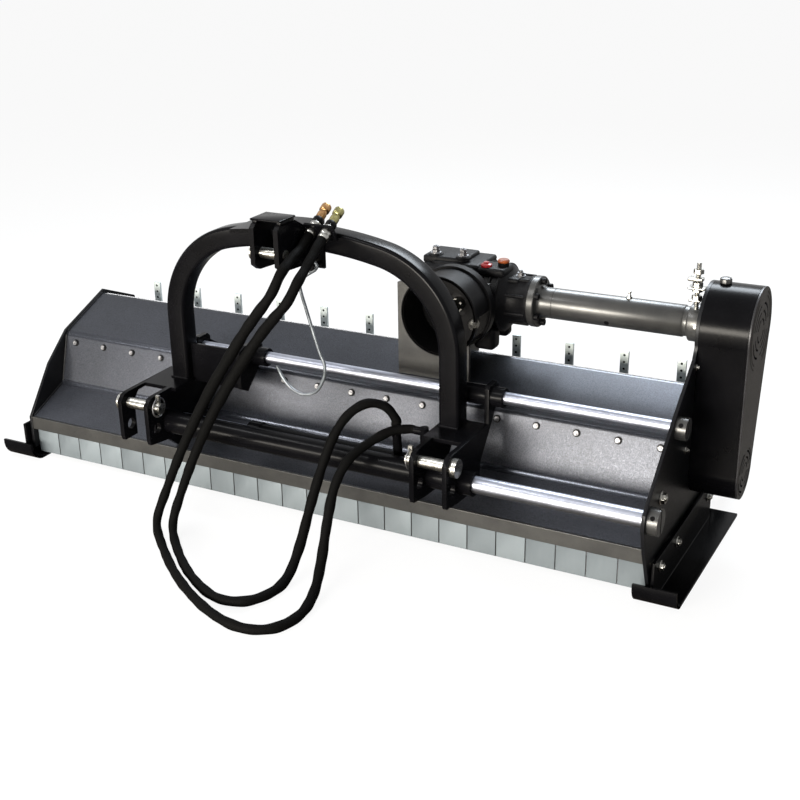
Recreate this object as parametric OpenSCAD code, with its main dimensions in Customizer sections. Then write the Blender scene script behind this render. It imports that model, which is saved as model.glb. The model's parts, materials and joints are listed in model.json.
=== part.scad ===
// Side-shift flail mower for a tractor three-point hitch.
// Millimetres. +X is the belt drive end, -Y the hitch side, +Z up. The skids stand on z = 0.

/* [Deck] */
// Clear width between the two side plates
deck_w = 1776; // [1200:1:2400]
// Thickness of the side plates
plate_t = 8; // [5:0.5:14]
// Thickness of the hood sheet
sheet_t = 4; // [2:0.5:6]
// Height of the flat bar along the front edge
bar_h = 36; // [25:1:60]
// Thickness of the flat bar along the front edge
bar_t = 8; // [5:0.5:14]
// Height of the hood's front edge above the ground
hood_front_z = 122; // [100:1:140]
// How far back the hood's ledge meets the steep front panel
hood_step_y = 116; // [90:1:125]
// Height at which the ledge meets the steep front panel
hood_step_z = 178; // [160:1:185]
// How far back the steep panel meets the top panel
hood_bend_y = 158; // [140:1:170]
// Height at which the steep panel meets the top panel
hood_bend_z = 316; // [310:1:330]
// How far back the top seam of the hood lies
hood_top_y = 330; // [310:1:350]
// Height of the top seam of the hood
hood_top_z = 387; // [380:1:395]
// How far back the rear wall of the hood stands
hood_rear_y = 462; // [455:1:475]
// Height of the rear wall's upper edge
hood_rear_z = 330; // [310:1:345]
// Height of the rear wall's lower edge
hood_skirt_z = 190; // [150:1:230]
// Number of bolts along the front panel
panel_bolt_count = 18; // [10:1:24]
// Across-corner radius of those bolt heads
panel_bolt_r = 9; // [6:0.5:12]

/* [Front flaps] */
// Number of hanging flaps
flap_count = 24; // [12:4:36]
// Thickness of a flap
flap_t = 3; // [2:0.5:5]
// Gap between neighbouring flaps
flap_gap = 1; // [0.6:0.1:3]
// Height of a flap's lower edge above the ground
flap_foot = 12; // [8:1:40]
// Radius of the rod that the flaps hang on
flap_rod_r = 5; // [3:0.5:6]

/* [Rotor] */
// How far back the rotor axis lies
rotor_y = 295; // [292:1:300]
// Height of the rotor axis
rotor_z = 205; // [203:1:212]
// Outer radius of the rotor tube
rotor_r = 51; // [40:0.5:54]
// Radius of the rotor's stub shafts
rotor_shaft_r = 20; // [15:0.5:24]
// Radius at which the flail pins sit
flail_pin_at = 75; // [72:0.5:77]
// Radius of a flail pin
flail_pin_r = 8; // [6:0.5:9]
// Radius at the flail tips
flail_reach = 143; // [125:1:145]
// Width of a flail along the rotor
flail_w = 46; // [30:1:48]
// Flails in each of the four rows
flails_per_row = 8; // [4:1:8]

/* [Drive] */
// How far back the drive axis lies
drive_y = 320; // [312:1:328]
// Height of the drive axis
drive_z = 540; // [532:1:552]
// Outer radius of the drive tube
tube_r = 37; // [34:0.5:42]
// Radius of the drive shaft
drive_shaft_r = 17.5; // [14:0.5:20]
// Radius of the upper belt pulley
upper_pulley_r = 80; // [65:1:86]
// Radius of the lower belt pulley
lower_pulley_r = 55; // [45:1:56]
// Number of belts
belt_count = 3; // [2:1:4]
// Width of one belt
belt_w = 12; // [9:0.5:13]
// Depth of one belt
belt_h = 8; // [6:0.5:10]
// Depth of the belt guard
guard_d = 108; // [96:1:130]
// Thickness of the belt guard's sheet
guard_t = 3; // [2:0.5:5]
// Radius of the belt guard round the upper pulley
guard_upper_r = 100; // [94:1:108]
// Radius of the belt guard round the lower pulley
guard_lower_r = 66; // [63:1:74]

/* [Gearbox] */
// Where the input axis lies along the deck
gear_x = 312; // [300:1:345]
// Pitch radius of the bevel gear on the input shaft
gear_r = 60; // [54:1:63]
// Pitch radius of the bevel pinion on the drive shaft
pinion_r = 20; // [18.5:0.5:22]
// Outer radius of the input shaft guard
pto_guard_r = 95; // [90:1:115]
// Length of the input shaft guard
pto_guard_len = 104; // [80:1:110]

/* [Rails] */
// How far back the upper rail lies
upper_rail_y = 105; // [100:1:110]
// Height of the upper rail
upper_rail_z = 368; // [360:1:376]
// Radius of the upper rail
upper_rail_r = 15; // [12:0.5:17]
// How far forward the lower rail lies
lower_rail_y = -62; // [-66:1:-58]
// Height of the lower rail
lower_rail_z = 218; // [214:1:222]
// Radius of the lower rail
lower_rail_r = 20; // [16:0.5:22]
// Wall of the bushes that run on the rails
bush_wall = 9; // [7:0.5:10]

/* [Hitch] */
// Distance between the two lower hitch points
pin_spread = 825; // [780:1:850]
// How far forward the hitch pins lie
pin_y = -118; // [-124:1:-112]
// Height of the lower hitch pins
pin_z = 277; // [270:1:282]
// Radius of the lower hitch pins
pin_r = 14; // [11:0.5:16]
// Distance from a lower pin down to the empty hole below it
hole_drop = 57; // [50:1:60]
// Clear gap between the two ears of a lower clevis
ear_gap = 70; // [60:1:80]
// Thickness of the ears
ear_t = 12; // [8:0.5:16]
// Outer width of the arch
arch_w = 820; // [790:1:850]
// Height of the arch's top
arch_top = 745; // [720:1:780]
// Width of the arch's tube in the front view
arch_tube_w = 52; // [40:1:60]
// Depth of the arch's tube
arch_tube_d = 55; // [40:1:60]
// Outer radius of the arch's shoulders
arch_corner_r = 250; // [200:1:280]
// Outer radius of the arch's crown
arch_crown_r = 1000; // [800:1:1400]
// Clear gap between the two top link plates
top_gap = 52; // [44:1:60]
// Height of the top link pin
top_pin_z = 712; // [700:1:724]
// Radius of the top link pin
top_pin_r = 12.5; // [9:0.5:14]
// Radius of the side shift cylinder's barrel
barrel_r = 26; // [24:0.5:27]
// Radius of the side shift cylinder's rod
rod_r = 15; // [10:0.5:17]
// Diameter of the two hydraulic hoses
hose_d = 22; // [16:1:24]

/* [Running gear] */
// Width of a skid's sole
sole_w = 100; // [80:1:120]
// Thickness of a skid's sole
sole_t = 8; // [5:0.5:12]
// Inner radius of the skid's curled toe
toe_r = 40; // [32:1:46]
// How far back the rear roller's axis lies
roller_y = 560; // [556:1:575]
// Radius of the rear roller
roller_r = 57; // [45:1:58]
// Radius of the rear roller's stub shafts
roller_shaft_r = 15; // [10:0.5:18]
// Number of rake tines
tine_count = 12; // [8:1:16]
// Width of a rake tine
tine_w = 22; // [15:1:30]

/* [Clearances] */
// Radial play of every shaft that turns or slides in a bore
run_play = 0.06; // [0.03:0.01:0.09]
// Play between a belt and its pulley groove
belt_play = 0.5; // [0.4:0.1:0.8]

/* [Hidden] */
$fn = 64;
half = deck_w / 2;
outer = half + plate_t;
bar_y = -14;
bar_front = bar_y - bar_t;
flap_rod_y = bar_y + 10;
flap_rod_z = hood_front_z - 24;
flap_eye_r = flap_rod_r + 3;
flap_pitch = deck_w / flap_count;
flap_group_size = flap_count / 4;
plate_foot = 30;
plate_rear = 500;
guard_out = outer + guard_d;
guard_face_t = 4;
belt_pitch = belt_w + 6;
pulley_len = belt_count * belt_pitch;
pulley_x = outer + 22;
bearing_len = 42;
rotor_end = half - bearing_len - 8;
flail_side = flail_w / 2 + 0.5;
flail_pitch = (2 * rotor_end - 76 - 2 * flail_side) / (flails_per_row - 0.25);
lug_t = 6;
gearbox_left = gear_x - 125;
gearbox_right = gear_x + 96;
gearbox_front = drive_y - 78;
gearbox_rear = drive_y + 78;
gearbox_low = drive_z - 105;
gearbox_high = drive_z + 82;
bracket_y = gearbox_front - 26;
bracket_t = 10;
nose_r = 52;
spline_w = 7;
spline_h = 3.5;
flange_x = gear_x + 158;
bracket_left = gear_x - 161;
shelf_right = gear_x - 22;
flange_r = 62;
input_tip = bracket_y - pto_guard_len + 12;
bracket_plate_t = 12;
rail_gap = 10.5;
carriage_in = pin_spread / 2 - ear_gap / 2 - ear_t;
carriage_out = pin_spread / 2 + ear_gap / 2 + ear_t;
rail_left = -carriage_in - ear_t - rail_gap - bracket_plate_t;
bush_end = carriage_out + 30;
ear_top = 308;
ear_front = pin_y - 32;
third_plate_x = -215;
ear_cut = pin_y + 20;
arch_front = 15;
arch_rear = arch_front + arch_tube_d;
arch_half = arch_w / 2;
bridge_in = min(carriage_in, arch_half - arch_tube_w + 7.5) - 14;
bridge_out = max(carriage_out, arch_half);
crown_turn = asin((arch_half - arch_corner_r) / (arch_crown_r - arch_corner_r));
shoulder_z = arch_top - arch_crown_r + (arch_crown_r - arch_corner_r) * cos(crown_turn);
top_plate_t = 10;
link_t = 12;
link_in = top_gap / 2;
link_out = link_in + link_t;
top_pin_y = pin_y + 14;
barrel_y = -2;
barrel_z = 204;
barrel_left = -160;
barrel_bore_r = barrel_r - 6;
piston_x = 288;
coupler_lean = 60;
coupler_1 = [link_out + 14, -23, arch_top - 4];
coupler_2 = [link_out + 57, -38, arch_top - 6];
ferrule_r = 13;
ferrule_len = 38;
port_1 = [bridge_in - 39.5, -12, barrel_z + 96];
port_2 = [bridge_in - 89.5, -12, barrel_z + 100];
port_r = 11;
hook_x = 57;
hook_y = -20;
hook_z = 668;
hook_wire = 4;
stud_r = 5;
linch_rise = pin_r + 12;
linch_wire = 2;
linch_ring_r = pin_r + 10;
linch_hole_r = 2.9;
linch_in = 10.5;
skid_in = half - 22;
flange_in = outer + 4;
skid_out = skid_in + sole_w;
toe_y = -16;
sole_rear = 470;
tine_y = hood_rear_y + 8;
tine_t = 8;
tine_span = deck_w - 180;
roller_end = half - 18;
arm_t = 10;
frame_x = (skid_out - (guard_out + guard_face_t)) / 2;
frame_y = -(ear_front + roller_y + roller_r) / 2;

// shared shapes

function unit(v) = v / norm(v);
function below(a, b) = let (d = unit(b - a)) [d[1], -d[0]];

// the hood's outer line, front edge to rear skirt, as [back, up]
hood_line = [[bar_y, hood_front_z], [hood_step_y, hood_step_z], [hood_bend_y, hood_bend_z],
  [hood_top_y, hood_top_z], [hood_rear_y, hood_rear_z], [hood_rear_y, hood_skirt_z]];
hood_last = len(hood_line) - 1;

// the same line one sheet thickness further in, mitred at each bend
function hood_inner(i) =
  i == 0 ? [hood_line[0][0], hood_line[0][1] + sheet_t / below(hood_line[0], hood_line[1])[1]] :
  i == hood_last ? hood_line[i] + sheet_t * below(hood_line[i - 1], hood_line[i]) :
  let (a = below(hood_line[i - 1], hood_line[i]), b = below(hood_line[i], hood_line[i + 1]))
  hood_line[i] + sheet_t * (a + b) / (1 + a * b);

// a round bar along X
module round_x(r, x0, x1, y, z) {
  translate([x0, y, z]) rotate([0, 90, 0]) cylinder(r = r, h = x1 - x0);
}

// a hexagonal bar along X
module hex_x(r, x0, x1, y, z) {
  translate([x0, y, z]) rotate([0, 90, 0]) cylinder(r = r, h = x1 - x0, $fn = 6);
}

// a round bar along Y
module round_y(r, y0, y1, x, z) {
  translate([x, y0, z]) rotate([-90, 0, 0]) cylinder(r = r, h = y1 - y0);
}

// a plate across X, cut to a line of [back, up] points
module plate_x(x0, x1, points) {
  translate([x0, 0, 0]) rotate([90, 0, 90]) linear_extrude(x1 - x0) polygon(points);
}

// part of a ring round an X axis, angles from the back towards up
module sector_x(r0, r1, x0, x1, y, z, a0, a1) {
  translate([x0, y, z]) rotate([90, 0, 90]) rotate([0, 0, a0])
    rotate_extrude(angle = a1 - a0) translate([r0, 0]) square([r1 - r0, x1 - x0]);
}

// part of a ring round a Y axis, angles from +X towards up
module sector_y(r0, r1, y0, y1, x, z, a0, a1) {
  translate([x, y1, z]) rotate([90, 0, 0]) rotate([0, 0, a0])
    rotate_extrude(angle = a1 - a0) translate([r0, 0]) square([r1 - r0, y1 - y0]);
}

// a straight round rod between two points
module rod_between(a, b, r) {
  d = b - a;
  translate(a) rotate([0, acos(d[2] / norm(d)), atan2(d[1], d[0])]) cylinder(r = r, h = norm(d));
}

// everything under the hood's outer line, to trim what stands on the hood
module hood_solid() {
  plate_x(-half - 1, half + 1, concat(hood_line, [[hood_rear_y, 0], [bar_y, 0]]));
}

// the block inside a band that wraps the drive axis and the rotor axis
drive_axis = [drive_y, drive_z];
rotor_axis = [rotor_y, rotor_z];
axis_gap = norm(drive_axis - rotor_axis);
axis_up = unit(drive_axis - rotor_axis);
axis_side = [axis_up[1], -axis_up[0]];
function wrap_turn(ra, rb) = asin((ra - rb) / axis_gap);
function wrap_edge(s, ra, rb) =
  s * cos(wrap_turn(ra, rb)) * axis_side + sin(wrap_turn(ra, rb)) * axis_up;
module wrap_block(ra, rb, x0, x1) {
  round_x(ra, x0, x1, drive_y, drive_z);
  round_x(rb, x0, x1, rotor_y, rotor_z);
  plate_x(x0, x1, [drive_axis + ra * wrap_edge(1, ra, rb), drive_axis + ra * wrap_edge(-1, ra, rb),
    rotor_axis + rb * wrap_edge(-1, ra, rb), rotor_axis + rb * wrap_edge(1, ra, rb)]);
}

// deck

module deck_shell() {
  color([0.28, 0.29, 0.32])
    plate_x(-half, half, concat(hood_line, [for (i = [hood_last : -1 : 0]) hood_inner(i)]));
}

module left_side_plate() {
  color([0.26, 0.27, 0.3])
    plate_x(-outer, -half, [[-24, plate_foot], [-24, hood_front_z], [hood_step_y - 44, hood_bend_z - 66],
      [hood_bend_y, hood_bend_z + 8], [hood_top_y + 6, hood_top_z + 8], [hood_rear_y + 10, hood_rear_z + 8],
      [plate_rear, hood_skirt_z], [plate_rear, plate_foot]]);
}

module right_side_plate() {
  color([0.26, 0.27, 0.3]) difference() {
    union() {
      plate_x(half, outer, [[-30, plate_foot], [-84, 150], [lower_rail_y - 42, lower_rail_z - 4],
        [lower_rail_y - 36, lower_rail_z + 26], [lower_rail_y - 8, lower_rail_z + 50],
        [upper_rail_y - 30, upper_rail_z + 22], [drive_y - 110, drive_z - 52], [drive_y - 90, drive_z - 10],
        [drive_y + 90, drive_z - 30], [hood_rear_y + 10, hood_rear_z + 8], [plate_rear, hood_skirt_z],
        [plate_rear, plate_foot]]);
      round_x(guard_upper_r, half, outer, drive_y, drive_z);
    }
    round_x(upper_rail_r, half - 1, outer + 1, upper_rail_y, upper_rail_z);
    round_x(lower_rail_r, half - 1, outer + 1, lower_rail_y, lower_rail_z);
    round_x(drive_shaft_r + 8, half - 1, outer + 1, drive_y, drive_z);
    round_x(rotor_shaft_r + 4, half - 1, outer + 1, rotor_y, rotor_z);
  }
}

module front_bar() {
  color([0.3, 0.29, 0.28]) translate([-half, bar_front, hood_front_z - bar_h]) cube([deck_w, bar_t, bar_h]);
}

module flap_rod() {
  color([0.6, 0.6, 0.6]) round_x(flap_rod_r, -half, half, flap_rod_y, flap_rod_z);
}

// bolts of the front panel, the tines, the output flange and the skids
steep = atan2(hood_bend_z - hood_step_z, hood_bend_y - hood_step_y);
panel_bolt_z = hood_bend_z - 24;
panel_bolt_y = hood_step_y + (panel_bolt_z - hood_step_z) / tan(steep);
panel_bolt_pitch = (deck_w - 76) / (panel_bolt_count - 1);
tine_pitch = tine_span / (tine_count - 1);
tine_bolt_z = hood_rear_z - 45;
skid_bolt_y = [4, 130, 390];
skid_bolt_z = 78;
module deck_bolts() {
  color([0.75, 0.75, 0.73]) {
    for (i = [0 : panel_bolt_count - 1])
      translate([38 - half + i * panel_bolt_pitch, panel_bolt_y, panel_bolt_z]) rotate([steep, 0, 0])
        cylinder(r = panel_bolt_r, h = 6, $fn = 6);
    for (i = [0 : tine_count - 1])
      translate([i * tine_pitch - tine_span / 2, tine_y + tine_t, tine_bolt_z]) rotate([-90, 0, 0])
        cylinder(r = 9, h = 7, $fn = 6);
    for (a = [0 : 60 : 300])
      hex_x(7, flange_x + 18, flange_x + 25, drive_y + (flange_r - 11) * cos(a),
        drive_z + (flange_r - 11) * sin(a));
    for (y = skid_bolt_y) {
      for (s = [0, 1]) mirror([s, 0, 0]) {
        round_x(14, outer, flange_in, y, skid_bolt_z);
        hex_x(10, flange_in + 8, flange_in + 16, y, skid_bolt_z);
      }
    }
    hex_x(11, outer, outer + 10, lower_rail_y + 62, lower_rail_z + 72);
  }
}

module upper_rail() {
  color([0.85, 0.85, 0.86]) round_x(upper_rail_r, rail_left, outer, upper_rail_y, upper_rail_z);
}

module lower_rail() {
  color([0.85, 0.85, 0.86]) round_x(lower_rail_r, rail_left, outer, lower_rail_y, lower_rail_z);
}

// round end caps of the rails outside the right plate, each with a slot across its face
module rail_collar(r, y, z) {
  difference() {
    round_x(r, outer, outer + 24, y, z);
    translate([outer + 19, y - 4, z - r - 1]) cube([6, 8, 2 * r + 2]);
  }
}
module rail_collars() {
  color([0.35, 0.35, 0.36]) {
    rail_collar(upper_rail_r + 11, upper_rail_y, upper_rail_z);
    rail_collar(lower_rail_r + 11, lower_rail_y, lower_rail_z);
  }
}

// holds the left ends of both rails and the cylinder's rod
module rail_bracket() {
  color([0.1, 0.1, 0.11]) difference() {
    plate_x(rail_left, rail_left + bracket_plate_t, [[ear_cut + 2, lower_rail_z - 20],
      [ear_cut + 2, lower_rail_z + 22], [lower_rail_y - 8, lower_rail_z + 32], [barrel_y + 30, lower_rail_z + 30],
      [arch_rear + 12, ear_top - 12], [arch_rear + 12, upper_rail_z + 14], [upper_rail_y - 8, upper_rail_z + 26],
      [upper_rail_y + 24, upper_rail_z + 22], [hood_bend_y + 40, hood_bend_z + 30], [hood_bend_y + 40, hood_step_z],
      [60, 120], [bar_y + 2, hood_front_z + 8]]);
    hood_solid();
    round_x(upper_rail_r, rail_left - 1, rail_left + bracket_plate_t + 1, upper_rail_y, upper_rail_z);
    round_x(lower_rail_r, rail_left - 1, rail_left + bracket_plate_t + 1, lower_rail_y, lower_rail_z);
    round_x(rod_r, rail_left - 1, rail_left + bracket_plate_t + 1, barrel_y, barrel_z);
  }
}

module tine_bar() {
  color([0.26, 0.27, 0.3]) translate([-half, hood_rear_y, tine_bolt_z - 16]) cube([deck_w, 8, 32]);
}

module rake_tines() {
  color([0.62, 0.64, 0.66]) for (i = [0 : tine_count - 1])
    translate([i * tine_pitch - tine_span / 2 - tine_w / 2, tine_y, 70])
      cube([tine_w, tine_t, hood_top_z + 2 - 70]);
}

// skid: flat sole, curled toe and the upright flange that bolts to the side plate
module skid() {
  translate([skid_in, toe_y, 0]) cube([sole_w, sole_rear - toe_y, sole_t]);
  sector_x(toe_r, toe_r + sole_t, skid_in, skid_in + sole_w, toe_y, toe_r + sole_t, 200, 270);
  translate([flange_in, toe_y - 24, sole_t + 4]) cube([8, 464, 92]);
  translate([flange_in, toe_y, sole_t - 2]) cube([8, 440, 14]);
}
module right_skid() {
  color([0.09, 0.09, 0.1]) skid();
}
module left_skid() {
  color([0.09, 0.09, 0.1]) mirror([1, 0, 0]) skid();
}

// arms that carry the rear roller, on the outer faces of the side plates
module roller_arm() {
  difference() {
    union() {
      plate_x(outer, outer + arm_t, [[424, 160], [424, 215], [478, 215], [roller_y + 26, roller_r + 22],
        [roller_y + 20, roller_r - 26], [roller_y - 20, roller_r - 26]]);
      round_x(33, outer, outer + arm_t + 8, roller_y, roller_r);
    }
    round_x(roller_shaft_r + run_play, outer - 1, outer + arm_t + 9, roller_y, roller_r);
  }
}
module roller_arms() {
  color([0.09, 0.09, 0.1]) {
    roller_arm();
    mirror([1, 0, 0]) roller_arm();
  }
}

// gearbox and drive line

module gearbox_bracket() {
  color([0.36, 0.36, 0.37]) difference() {
    union() {
      translate([0, bracket_y + bracket_t, 0]) rotate([90, 0, 0]) linear_extrude(bracket_t)
        polygon([[bracket_left, 300], [bracket_left, drive_z + 37], [gear_x - 72, drive_z + 60],
          [gear_x + 83, drive_z + 60], [gear_x + 83, drive_z - 50], [gear_x + 33, drive_z - 90], [gear_x + 33, 300]]);
      plate_x(bracket_left, bracket_left + 10, [[bracket_y, 300], [bracket_y, drive_z - 20],
        [drive_y - 20, drive_z - 70], [drive_y + 80, gearbox_low], [drive_y + 80, 300]]);
      plate_x(shelf_right - 10, shelf_right, [[bracket_y, 300], [bracket_y, gearbox_low],
        [drive_y + 80, gearbox_low], [drive_y + 80, 300]]);
      translate([bracket_left, bracket_y, gearbox_low - 10])
        cube([shelf_right - bracket_left, drive_y + 80 - bracket_y, 10]);
    }
    hood_solid();
    round_y(nose_r, bracket_y - 1, bracket_y + bracket_t + 1, gear_x, drive_z);
  }
}

module gearbox_housing() {
  color([0.08, 0.08, 0.09]) difference() {
    union() {
      translate([gearbox_left, gearbox_front, gearbox_low])
        cube([gearbox_right - gearbox_left, gearbox_rear - gearbox_front, gearbox_high - gearbox_low]);
      round_y(nose_r, bracket_y, gearbox_front, gear_x, drive_z);
      round_x(55, gearbox_right, flange_x, drive_y, drive_z);
    }
    round_y(gear_r + 6, drive_y - 56, drive_y - 8, gear_x, drive_z);
    round_x(pinion_r + 6, gear_x, gear_x + gear_r + 16, drive_y, drive_z);
    round_y(drive_shaft_r + run_play, bracket_y - 1, drive_y - 50, gear_x, drive_z);
    round_x(drive_shaft_r + run_play, gear_x + gear_r, flange_x + 1, drive_y, drive_z);
  }
}

// raised cover on the gearbox's top with its two bolts
module gearbox_cover() {
  color([0.08, 0.08, 0.09]) {
    translate([gearbox_left + 6, drive_y - 48, gearbox_high]) cube([112, 96, 14]);
    for (x = [gearbox_left + 34, gearbox_left + 107]) translate([x, drive_y - 30, gearbox_high + 14]) {
      cylinder(r = 11, h = 9, $fn = 6);
      cylinder(r = 5, h = 20);
    }
  }
}

module filler_plug() {
  color([0.7, 0.1, 0.08]) translate([gear_x + 48, drive_y - 40, gearbox_high]) {
    cylinder(r = 12, h = 7);
    translate([0, 0, 7]) cylinder(r = 8, h = 7, $fn = 6);
  }
}

module breather_plug() {
  color([0.62, 0.36, 0.16]) translate([gear_x + 84, drive_y - 20, gearbox_high]) {
    cylinder(r = 10, h = 10);
    translate([0, 0, 10]) cylinder(r = 13, h = 9);
  }
}

// open drum round the input shaft with an access window
module pto_guard() {
  color([0.05, 0.05, 0.05]) difference() {
    round_y(pto_guard_r, bracket_y - pto_guard_len, bracket_y, gear_x, drive_z);
    round_y(pto_guard_r - 4, bracket_y - pto_guard_len - 1, bracket_y - 6, gear_x, drive_z);
    round_y(drive_shaft_r + 12, bracket_y - 7, bracket_y + 1, gear_x, drive_z);
    translate([gear_x + 40, bracket_y - 78, drive_z - 55]) cube([90, 52, 60]);
  }
}

module drive_tube() {
  color([0.43, 0.43, 0.44]) difference() {
    union() {
      round_x(flange_r, flange_x, flange_x + 18, drive_y, drive_z);
      round_x(tube_r, flange_x + 18, half, drive_y, drive_z);
      round_x(tube_r + 7, half - 34, half, drive_y, drive_z);
    }
    round_x(tube_r - 7, flange_x - 1, half + 1, drive_y, drive_z);
  }
}

// bearing of the drive shaft in the tube's end and the two rotor bearings
module bearings() {
  color([0.2, 0.2, 0.21]) {
    difference() {
      round_x(tube_r - 7, half - 30, half, drive_y, drive_z);
      round_x(drive_shaft_r + run_play, half - 31, half + 1, drive_y, drive_z);
    }
    for (s = [-1, 1]) mirror([s < 0 ? 1 : 0, 0, 0]) difference() {
      round_x(rotor_shaft_r + 36, half - bearing_len, half, rotor_y, rotor_z);
      round_x(rotor_shaft_r + run_play, half - bearing_len - 1, half + 1, rotor_y, rotor_z);
    }
  }
}

module guard_rim() {
  color([0.06, 0.06, 0.06]) difference() {
    wrap_block(guard_upper_r, guard_lower_r, outer, guard_out);
    wrap_block(guard_upper_r - guard_t, guard_lower_r - guard_t, outer - 1, guard_out + 1);
  }
}

// outer face of the guard: rings of curved louvre slots at both pulleys
module louvres(y, z, radii) {
  for (r = radii, a = [0 : 90 : 270])
    sector_x(r, r + 5, guard_out - 1, guard_out + guard_face_t + 1, y, z, a + 12, a + 78);
}
module guard_face() {
  color([0.42, 0.42, 0.43]) difference() {
    wrap_block(guard_upper_r, guard_lower_r, guard_out, guard_out + guard_face_t);
    louvres(drive_y, drive_z, [24, 42, 60]);
    louvres(rotor_y, rotor_z, [18, 32, 46]);
  }
}

module guard_knob() {
  color([0.05, 0.05, 0.05]) translate([outer + 26, drive_y, drive_z + guard_upper_r]) {
    cylinder(r = 5, h = 8);
    translate([0, 0, 14]) sphere(r = 11);
  }
}

// screw that draws the drive tube up to tighten the belts
module belt_tensioner() {
  color([0.68, 0.67, 0.62]) {
    translate([half - 40, drive_y - 44, drive_z + 82]) cube([40, 26, 8]);
    difference() {
      translate([half - 20, drive_y - 31, drive_z]) cylinder(r = 6, h = 134);
      round_x(tube_r + 7, half - 40, half, drive_y, drive_z);
    }
    translate([half - 20, drive_y - 31, drive_z + 90]) cylinder(r = 12, h = 10, $fn = 6);
    translate([half - 20, drive_y - 31, drive_z + 72]) cylinder(r = 12, h = 10, $fn = 6);
  }
}

// each belt: a band round the two pulleys
belt_a = upper_pulley_r - 6 + belt_play;
belt_b = lower_pulley_r - 6 + belt_play;
module belt(x) {
  difference() {
    wrap_block(belt_a + belt_h, belt_b + belt_h, x, x + belt_w);
    wrap_block(belt_a, belt_b, x - 1, x + belt_w + 1);
  }
}
module drive_belts() {
  color([0.04, 0.04, 0.04]) for (i = [0 : belt_count - 1])
    belt(pulley_x + i * belt_pitch + (belt_pitch - belt_w) / 2);
}

// rod and piston of the side shift cylinder, held in the rail bracket
module cylinder_rod() {
  color([0.85, 0.85, 0.86]) {
    round_x(rod_r, rail_left, piston_x, barrel_y, barrel_z);
    round_x(barrel_bore_r - run_play, piston_x, piston_x + 24, barrel_y, barrel_z);
    hex_x(rod_r + 7, rail_left - 16, rail_left, barrel_y, barrel_z);
  }
}

// turning pieces

// input shaft with six spline grooves from its tip to the bracket
module input_shaft() {
  color([0.55, 0.55, 0.55]) difference() {
    round_y(drive_shaft_r, input_tip, drive_y - 36, gear_x, drive_z);
    for (a = [0 : 60 : 300]) translate([gear_x, input_tip - 1, drive_z]) rotate([0, a, 0])
      translate([-spline_w / 2, 0, drive_shaft_r - spline_h])
        cube([spline_w, bracket_y - 9 - input_tip, spline_h + 2]);
  }
}

module bevel_gear() {
  color([0.4, 0.4, 0.42]) translate([gear_x, drive_y - 36, drive_z]) rotate([-90, 0, 0]) {
    cylinder(r = gear_r, h = 36 - gear_r * pinion_r / gear_r - 1.5);
    translate([0, 0, 36 - pinion_r - 1.5]) cylinder(r1 = gear_r, r2 = gear_r * 0.7, h = pinion_r * 0.3);
  }
}

module drive_shaft() {
  color([0.55, 0.55, 0.55]) {
    translate([gear_x + gear_r * 0.7, drive_y, drive_z]) rotate([0, 90, 0])
      cylinder(r1 = pinion_r * 0.7, r2 = pinion_r, h = gear_r * 0.3);
    round_x(pinion_r, gear_x + gear_r, gear_x + gear_r + 10, drive_y, drive_z);
    round_x(drive_shaft_r, gear_x + gear_r + 10, pulley_x + pulley_len + 12, drive_y, drive_z);
  }
}

module pulley(r, bore, y, z) {
  difference() {
    round_x(r, pulley_x, pulley_x + pulley_len, y, z);
    round_x(bore, pulley_x - 1, pulley_x + pulley_len + 1, y, z);
    for (i = [0 : belt_count - 1])
      sector_x(r - 6, r + 1, pulley_x + i * belt_pitch + (belt_pitch - belt_w) / 2 - belt_play,
        pulley_x + i * belt_pitch + (belt_pitch + belt_w) / 2 + belt_play, y, z, 0, 360);
  }
}
module upper_pulley() {
  color([0.3, 0.3, 0.31]) pulley(upper_pulley_r, drive_shaft_r, drive_y, drive_z);
}
module lower_pulley() {
  color([0.3, 0.3, 0.31]) pulley(lower_pulley_r, rotor_shaft_r, rotor_y, rotor_z);
}

module rotor_tube() {
  color([0.14, 0.14, 0.15]) {
    difference() {
      round_x(rotor_r, -rotor_end, rotor_end, rotor_y, rotor_z);
      round_x(rotor_r - 8, 12 - rotor_end, rotor_end - 12, rotor_y, rotor_z);
    }
    round_x(rotor_shaft_r, 6 - half, -rotor_end, rotor_y, rotor_z);
    round_x(rotor_shaft_r, rotor_end, pulley_x + pulley_len + 10, rotor_y, rotor_z);
  }
}

// places one row of the rotor: row 0 to 3, each turned a quarter and stepped along
module on_row(row) {
  for (i = [0 : flails_per_row - 1])
    translate([38 + flail_side - rotor_end + (i + row * 0.25) * flail_pitch, rotor_y, rotor_z])
      rotate([45 + row * 90, 0, 0]) children();
}
module rotor_lugs() {
  color([0.14, 0.14, 0.15]) for (row = [0 : 3]) on_row(row) {
    for (x = [-flail_side - lug_t, flail_side]) difference() {
      translate([x, -12, rotor_r - 3]) cube([lug_t, 24, flail_pin_at + 13 - rotor_r + 3]);
      round_x(rotor_r, x - 1, x + lug_t + 1, 0, 0);
    }
    round_x(flail_pin_r, -flail_side, flail_side, 0, flail_pin_at);
    hex_x(12, -flail_side - lug_t - 7, -flail_side - lug_t, 0, flail_pin_at);
    hex_x(12, flail_side + lug_t, flail_side + lug_t + 7, 0, flail_pin_at);
  }
}

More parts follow.
